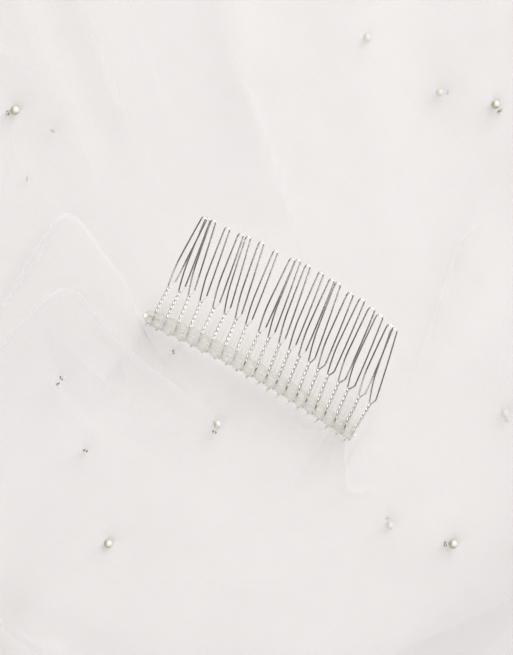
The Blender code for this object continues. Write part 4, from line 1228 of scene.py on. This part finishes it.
end_paths, end_highlights = [], []
for index, row in enumerate(TEETH):
    wrap, stub = wire_ends(index, row[0])
    end_paths += [wrap, stub]
    # a glint painted along each wrapped end, fading out, brighter on the first teeth
    end_highlight = 0.32 if index < FIRST_WRAP_OUTSIDE else 0.08
    end_highlights += [np.linspace(end_highlight, 0.0, len(wrap)), np.zeros(len(stub))]
upper_places = np.linspace(-BINDING_END, BINDING_END, 80)
upper_level = bar_height(upper_places) - UPPER_BAR_DROP
upper_bar = comb_points(upper_places, bar_across(upper_places) + UPPER_BAR, upper_level)
end_wires = wires("comb_wire_ends", end_paths, STRAND * 0.9, 8, WIRE, end_highlights)
second_bar = wires("comb_second_bar", [upper_bar], 0.24, 8, WIRE, [np.full(len(upper_bar), 0.45)])
for thin_wire in (tooth_wires, end_wires, second_bar):
    thin_wire.visible_shadow = False  # in light this soft thin wires leave the cloth bright
own(end_wires, "silver_wire")
own(second_bar, "silver_wire")


def make_end_ball():
    """The bar's left end is melted to a small ball, its colour painted bright as a highlight."""
    radius, place = 0.9, -BAR_LENGTH / 2 - 0.7
    rings, sides = 14, 20
    tilt = np.linspace(0, pi, rings)[1:-1, None]
    turn = np.linspace(0, tau, sides, endpoint=False)[None, :]
    middle = comb_points(place, bar_across(place) - 0.1, bar_height(place) + 0.9)
    offsets = np.stack([np.sin(tilt) * np.cos(turn), np.sin(tilt) * np.sin(turn), np.cos(tilt) + 0 * turn], axis=-1)
    points = np.vstack([(middle + radius * offsets).reshape(-1, 3), middle + (0, 0, radius), middle - (0, 0, radius)])
    count = (rings - 2) * sides
    faces = grid_faces(rings - 2, sides, True)[:, ::-1].tolist()
    faces += [[i, (i + 1) % sides, count] for i in range(sides)]
    faces += [[count - sides + (i + 1) % sides, count - sides + i, count + 1] for i in range(sides)]
    ball = new_piece("bar_end_ball", points, faces, WIRE)
    # a highlight painted over the whole ball
    set_attribute(ball.data, "painted_highlight", np.full(len(points), 0.95))
    own(ball, "silver_wire")


make_end_ball()

EDGE_DEPTH = 9.0  # how far the cut edge stands out above the ribbon
EDGE_GATHER = 1.35  # width of one of its small gathers


def make_gathered_edge():
    """The cloth's gathered edge, tucked between the teeth's twisted stems."""
    rows, columns = 26, 400
    along = np.linspace(-BINDING_END + 0.4, BINDING_END - 0.2, columns)[None, :]
    share = np.linspace(0, 1, rows)[:, None]
    across = bar_across(along) + 1.6 + EDGE_DEPTH * share + 0.35 * np.sin(along * 1.53 + 0.6)
    phase = along * tau / EDGE_GATHER + 2.2 * np.sin(along * 0.7)
    gathers = 0.11 * np.sin(phase) + 0.05 * np.sin(along * tau / 0.83)
    height = bar_height(along) * (1 - 0.2 * share) - 0.75 + gathers * (1 - 0.6 * share)
    grid = comb_points(along + 0 * share, across, height)
    streaks = 0.5 + 0.5 * np.sin(phase + 3.0 * share)
    density = cover(grid, False, 0.07) * ease((1 - share) / 0.16) + (0.05 + 0.16 * streaks) * (1 - share)
    # the ribbon's darker ivory on this tulle edge is partly its tone and partly painted shade, standing in for the
    # teeth's shadow, which they do not cast
    return own(add_sheet("gathered_edge_sheet", grid, density, RIBBON, 0), "sheer_ribbon")


gathered_edge = make_gathered_edge()

HEAD_DEPTH = 24.0  # how far the gathers run out over the cloth
HEAD_FAN = 0.10
HEAD_GATHERS = ((4.1, 0.26, 0.0), (2.3, 0.10, 1.1), (1.3, 0.03, 2.3))  # wave, height, phase


def make_gathered_head():
    """Gathers that leave the binding and die out on the cloth."""
    rows, columns = 44, 420
    share = np.linspace(0, 1, rows)[:, None]
    along = np.linspace(-BINDING_END, BINDING_END, columns)[None, :]
    across = bar_across(along) - 1.9 - HEAD_DEPTH * share
    place = comb_points(along * (1 + HEAD_FAN * share), across, 0.0)
    x, y = place[..., 0], place[..., 1]
    gathers = sum(
        height * np.sin(tau * along / wave + phase + 1.4 * np.sin(along * 0.19 + phase))
        for wave, height, phase in HEAD_GATHERS
    )
    held = COMB_LEVEL + bar_height(along) - 0.5
    cloth = top_surface(x, y) + 0.5
    settle = ease(share / 0.62)
    level = np.maximum(held * (1 - settle) + cloth * settle, cloth) + gathers * (1 - share) ** 1.5
    grid = np.dstack([x, y, level])
    density = cover(grid, False, 0.14) * (1 - ease(share / 0.9)) + 0.08 * np.exp(-((share / 0.08) ** 2))
    sides = ease(np.minimum(along + BINDING_END, BINDING_END - along) / 5.0)
    head = add_sheet("gathered_head_sheet", grid, density * sides, TULLE, 61, upward=False)
    return own(head, "tulle", "gathered_head")


gathered_head = make_gathered_head()

RIBBON_COVER = 0.38
RIBBON_DENSEST = 0.72
RIBBON_END = 2.6  # how far the ribbon is rolled on past the first tooth
SEAM_OPENING = 0.1  # half the angle between its two long edges, which meet underneath
PINCHED = (2.25, 1.0)  # its half width and half height under a tooth
PUFFED = (0.65, 1.3)  # what they gain halfway between two teeth


def make_ribbon():
    """A sheer ribbon tube round the bar: pinched under every tooth, puffed between two."""
    roots = [row[0] for row in TEETH]
    stations = list(-BINDING_END - RIBBON_END * (1 - np.linspace(0.04, 1, 8) ** 2))
    for root, following in zip(roots, roots[1:]):
        stations.extend(np.linspace(root, following, 13)[:-1])
    stations.append(BINDING_END)
    angle = np.linspace(SEAM_OPENING, tau - SEAM_OPENING, 36) - pi / 2
    rings = []
    for place in stations:
        gaps = [(place - a) / (b - a) for a, b in zip(roots, roots[1:]) if a <= place <= b]
        swell = np.sin(pi * gaps[0]) ** 0.55 if gaps else 0.0
        half_width, half_height = (pinched + gain * swell for pinched, gain in zip(PINCHED, PUFFED))
        bulge = 1 + 0.06 * np.sin(3 * angle + place) * swell
        if place < -BINDING_END:
            rounding = (1 - ((-BINDING_END - place) / (RIBBON_END + 0.02)) ** 2) ** 0.5
            half_width, half_height = half_width * rounding, half_height * rounding
        if place == BINDING_END:
            half_width, half_height = 0.5 * half_width, 0.5 * half_height
        across = bar_across(place) + half_width * bulge * np.sign(np.cos(angle)) * np.abs(np.cos(angle)) ** 0.8
        height = bar_height(place) + half_height * bulge * np.sin(angle)
        lean = -0.16 * (across - bar_across(place))
        rings.append(comb_points(place + lean, across, height))
    grid = np.array(rings)
    density = np.minimum(cover(grid, False, RIBBON_COVER), RIBBON_DENSEST)
    return own(add_sheet("ribbon_binding", grid, density, RIBBON, 30, upward=False), "sheer_ribbon", "binding")


ribbon = make_ribbon()


# ---------------------------------------------------------------- pearls and beads
ON_TOP, UNDER_TOP, UNDER_INNER = 0, 1, 2
PEARLS = (  # plan place, what it is, which way its bead lies from it, which layer it is on
    (-82.9, 74.5, "pair", 200, ON_TOP), (38.1, 99.7, "pearl", 20, UNDER_TOP),
    (63.1, 80.9, "pair", 0, UNDER_TOP), (81.9, 76.4, "pair", -55, ON_TOP),
    (-70.1, 67.5, "bead", 60, UNDER_TOP), (-79.0, 51.1, "bead", 0, UNDER_TOP),
    (-76.1, 43.6, "pearl", 90, UNDER_INNER), (-66.5, -17.3, "bead", 30, ON_TOP),
    (-67.9, -19.3, "bead", -50, UNDER_TOP), (-58.6, -42.2, "bead", 70, ON_TOP),
    (-13.5, -33.3, "pair", -110, UNDER_TOP), (-28.5, -8.4, "bead", 15, UNDER_TOP),
    (-50.9, -74.2, "pearl", 200, ON_TOP), (46.0, -68.2, "pair", 110, UNDER_TOP),
    (67.5, -74.4, "pair", 180, ON_TOP), (32.0, -38.4, "pair", 200, UNDER_INNER),
    (39.5, -35.7, "pearl", 40, UNDER_INNER), (85.6, -29.6, "pair", -80, UNDER_TOP),
    (78.1, 16.2, "pearl", 10, UNDER_INNER), (69.9, -0.5, "bead", 0, UNDER_INNER),
    (50.4, 52.1, "pearl", 80, UNDER_INNER), (23.1, 91.1, "pearl", 150, UNDER_INNER),
    (78.5, 100.3, "pearl", 0, UNDER_INNER), (-46.0, 76.4, "pearl", 30, UNDER_INNER),
    (4.6, 84.6, "pair", 30, UNDER_INNER),
)
PEARL_RADIUS = 1.55
BEAD_RADIUS = 0.95
BEAD_GAP = 0.15
BEAD_RISES = (0.88, -1.12, -1.12)  # height of a bead's middle over its layer, in its own radii
STITCH = 0.9  # length of thread that shows beyond a bead
SPREAD_PEARLS = 74
PEARL_SPACING = 19.0  # least distance between two groups
SEWN_BY_HAND = (90.0, 114.0)  # half width and half depth of the part that the table fills


def scattered_pearls(seed, count):
    """Pearls sewn over the rest of the cloth, mostly in pairs with a bead, all on the uppermost cloth."""
    draw = np.random.default_rng(seed)
    rows = []
    while len(rows) < count:
        x, y = random_place(draw, 0.35, 0.965)[1]
        if abs(x) < SEWN_BY_HAND[0] and abs(y) < SEWN_BY_HAND[1]:
            continue
        if any(np.hypot(x - row[0], y - row[1]) < PEARL_SPACING for row in rows):
            continue
        kind = draw.choice(["pair", "pearl", "bead"], p=[0.6, 0.25, 0.15])
        rows.append((x, y, kind, draw.uniform(0, 360), ON_TOP))
    return rows


def make_bead_tree(name, ring):
    """Pearls, or small rings, stood on points: `size` scales each and `lie` is the way of its hole."""
    ins = [("Geometry", GEOMETRY, None), ("Radius", FLOAT, 0.0015), ("Finish", FINISH, None)]
    tree, given, result = new_group(name, "GeometryNodeTree", ins, [("Geometry", GEOMETRY)])
    radius = given.outputs["Radius"]
    if ring:
        middle = circle_curve(tree, 14, maths(tree, "MULTIPLY", radius, 0.62))
        shape = tube_along(tree, middle, circle_curve(tree, 8, maths(tree, "MULTIPLY", radius, 0.38)))
    else:
        links = [("Segments", 20), ("Rings", 12), ("Radius", radius)]
        shape = node(tree, "GeometryNodeMeshUVSphere", links).outputs["Mesh"]
    smooth = node(tree, "GeometryNodeSetShadeSmooth", [("Geometry", shape)]).outputs[0]
    lie = node(tree, "GeometryNodeInputNamedAttribute", [("Name", "lie")], data_type="FLOAT_VECTOR")
    size = node(tree, "GeometryNodeInputNamedAttribute", [("Name", "size")], data_type="FLOAT")
    turned = node(tree, "FunctionNodeAlignRotationToVector", [("Vector", lie.outputs["Attribute"])], axis="Z")
    links = [
        ("Points", given.outputs["Geometry"]), ("Instance", smooth),
        ("Rotation", turned.outputs["Rotation"]), ("Scale", size.outputs["Attribute"]),
    ]
    return pass_out(tree, node(tree, "GeometryNodeInstanceOnPoints", links).outputs[0], given, result)


def stand(name, tree, rows, radius, material):
    """One mesh of beads from rows of (middle, lie, size)."""
    middles, lies, sizes = zip(*rows)
    mesh = bpy.data.meshes.new(name)
    mesh.from_pydata(to_world(middles).tolist(), [], [])
    set_attribute(mesh, "lie", lies, "FLOAT_VECTOR", "vector")
    set_attribute(mesh, "size", sizes)
    return evaluated(linked(name, mesh), tree, Radius=radius * MM, Finish=material)


def place_beads():
    """Middles, lies and sizes of every pearl and bead, and the thread through each group."""
    uppermost = surface_under([top_sheet, outer_layer, middle_layer, inner_layer, gathered_head, *flaps])
    inner = surface_under([bed])
    draw = np.random.default_rng(5)
    pearls, beads, threads = [], [], []
    for x, y, kind, bearing, depth in (*PEARLS, *scattered_pearls(23, SPREAD_PEARLS)):
        aside = heading_at(radians(bearing))
        lead = BEAD_RADIUS if kind == "bead" else PEARL_RADIUS
        spots = [(0.0, lead)]
        if kind == "pair":
            spots.append((PEARL_RADIUS + BEAD_RADIUS + BEAD_GAP, BEAD_RADIUS))
        under = inner if depth == UNDER_INNER else uppermost
        middles = []
        for off, radius in spots:
            plan = np.array([x, y]) + off * aside
            level = float(solid_top(under, plan[:1], plan[1:], 3.0)[0])
            middles.append(np.array([*plan, level + BEAD_RISES[depth] * radius]))
            lie = (*aside, draw.normal(0.0, 0.25))
            kept = beads if radius == BEAD_RADIUS else pearls
            kept.append((middles[-1], lie, draw.uniform(0.93, 1.06)))
        tail = spots[-1][1]
        to_cloth = -0.8 * lead if depth == ON_TOP else 0.8 * lead
        stitches = (  # from which middle, how far along the hole, how far up
            (middles[0], -(lead + STITCH), to_cloth), (middles[0], -0.96 * lead, 0.0),
            (middles[-1], 0.96 * tail, 0.0), (middles[-1], tail + STITCH, to_cloth),
        )
        threads.append(smooth_path([middle + (*(off * aside), up) for middle, off, up in stitches], 14))
    return pearls, beads, threads


pearl_rows, bead_rows, thread_paths = place_beads()
own(stand("sewn_pearls", make_bead_tree("round_pearls", False), pearl_rows, PEARL_RADIUS, PEARL), "pearl")
own(stand("seed_beads", make_bead_tree("ring_beads", True), bead_rows, BEAD_RADIUS, BEAD_SILVER), "silver_bead")
own(wires("sewing_threads", thread_paths, 0.08, 5, THREAD), "tulle")

# ---------------------------------------------------------------- floor, light and camera
FLOOR_REACH = 3.0
LIT_PLACE = (0.05, -0.07, 0.02)
LIGHTS = (  # name, place, side, power, colour
    ("window", (0.66, 0.72, 0.90), 1.15, 16.6, (1.0, 0.99, 0.985)),
    ("reflector", (-0.52, -1.18, 1.40), 2.2, 31.3, (1.0, 0.99, 0.988)),
)
CAMERA_HEIGHT = 0.75  # of the camera over the level that it is aimed at
VIEW_DEPTH = 0.22393  # what it takes in from front to back at that level
AIMED_LEVEL = 24.0


def make_floor():
    mesh = bpy.data.meshes.new("floor")
    corners = [(x * FLOOR_REACH, y * FLOOR_REACH, 0) for x, y in ((-1, -1), (1, -1), (1, 1), (-1, 1))]
    mesh.from_pydata(corners, [], [(0, 1, 2, 3)])
    mesh.materials.append(new_material("pale_surface", Base_Color=(0.80, 0.783, 0.775, 1.0), Roughness=0.75)[0])
    linked("floor", mesh)


def add_light(name, place, side, power, colour):
    data = bpy.data.lights.new(name, "AREA")
    data.shape = "RECTANGLE"
    data.size = data.size_y = side
    data.energy = power
    data.color = colour
    light = linked(name, data)
    light.location = place
    direction = Vector(LIT_PLACE) - Vector(place)
    light.rotation_euler = direction.to_track_quat("-Z", "Y").to_euler()


def make_world():
    """Soft light from all round, stronger from low down than from above."""
    world = bpy.data.worlds.new("studio")
    world.use_nodes = True
    tree = world.node_tree
    background = tree.nodes["Background"]
    place = node(tree, "ShaderNodeTexCoord").outputs["Generated"]
    split = node(tree, "ShaderNodeSeparateXYZ", [(0, place)])
    ramp = node(tree, "ShaderNodeMapRange", [(0, split.outputs["Z"]), (1, 0.0), (2, 1.0), (3, 0.295), (4, 0.108)])
    tree.links.new(ramp.outputs[0], background.inputs["Strength"])
    background.inputs["Color"].default_value = (1.0, 0.99, 0.988, 1.0)
    bpy.context.scene.world = world


def make_camera():
    data = bpy.data.cameras.new("camera")
    data.sensor_fit = "VERTICAL"
    data.sensor_height = 36.0
    data.lens = data.sensor_height * CAMERA_HEIGHT / VIEW_DEPTH
    data.clip_start = 0.01
    camera = linked("camera", data)
    camera.location = to_world([0.0, 0.0, AIMED_LEVEL]) + (0.0, 0.0, CAMERA_HEIGHT)
    bpy.context.scene.camera = camera


make_floor()
make_world()
make_camera()
for row in LIGHTS:
    add_light(*row)
bpy.context.scene.view_settings.view_transform = "Standard"
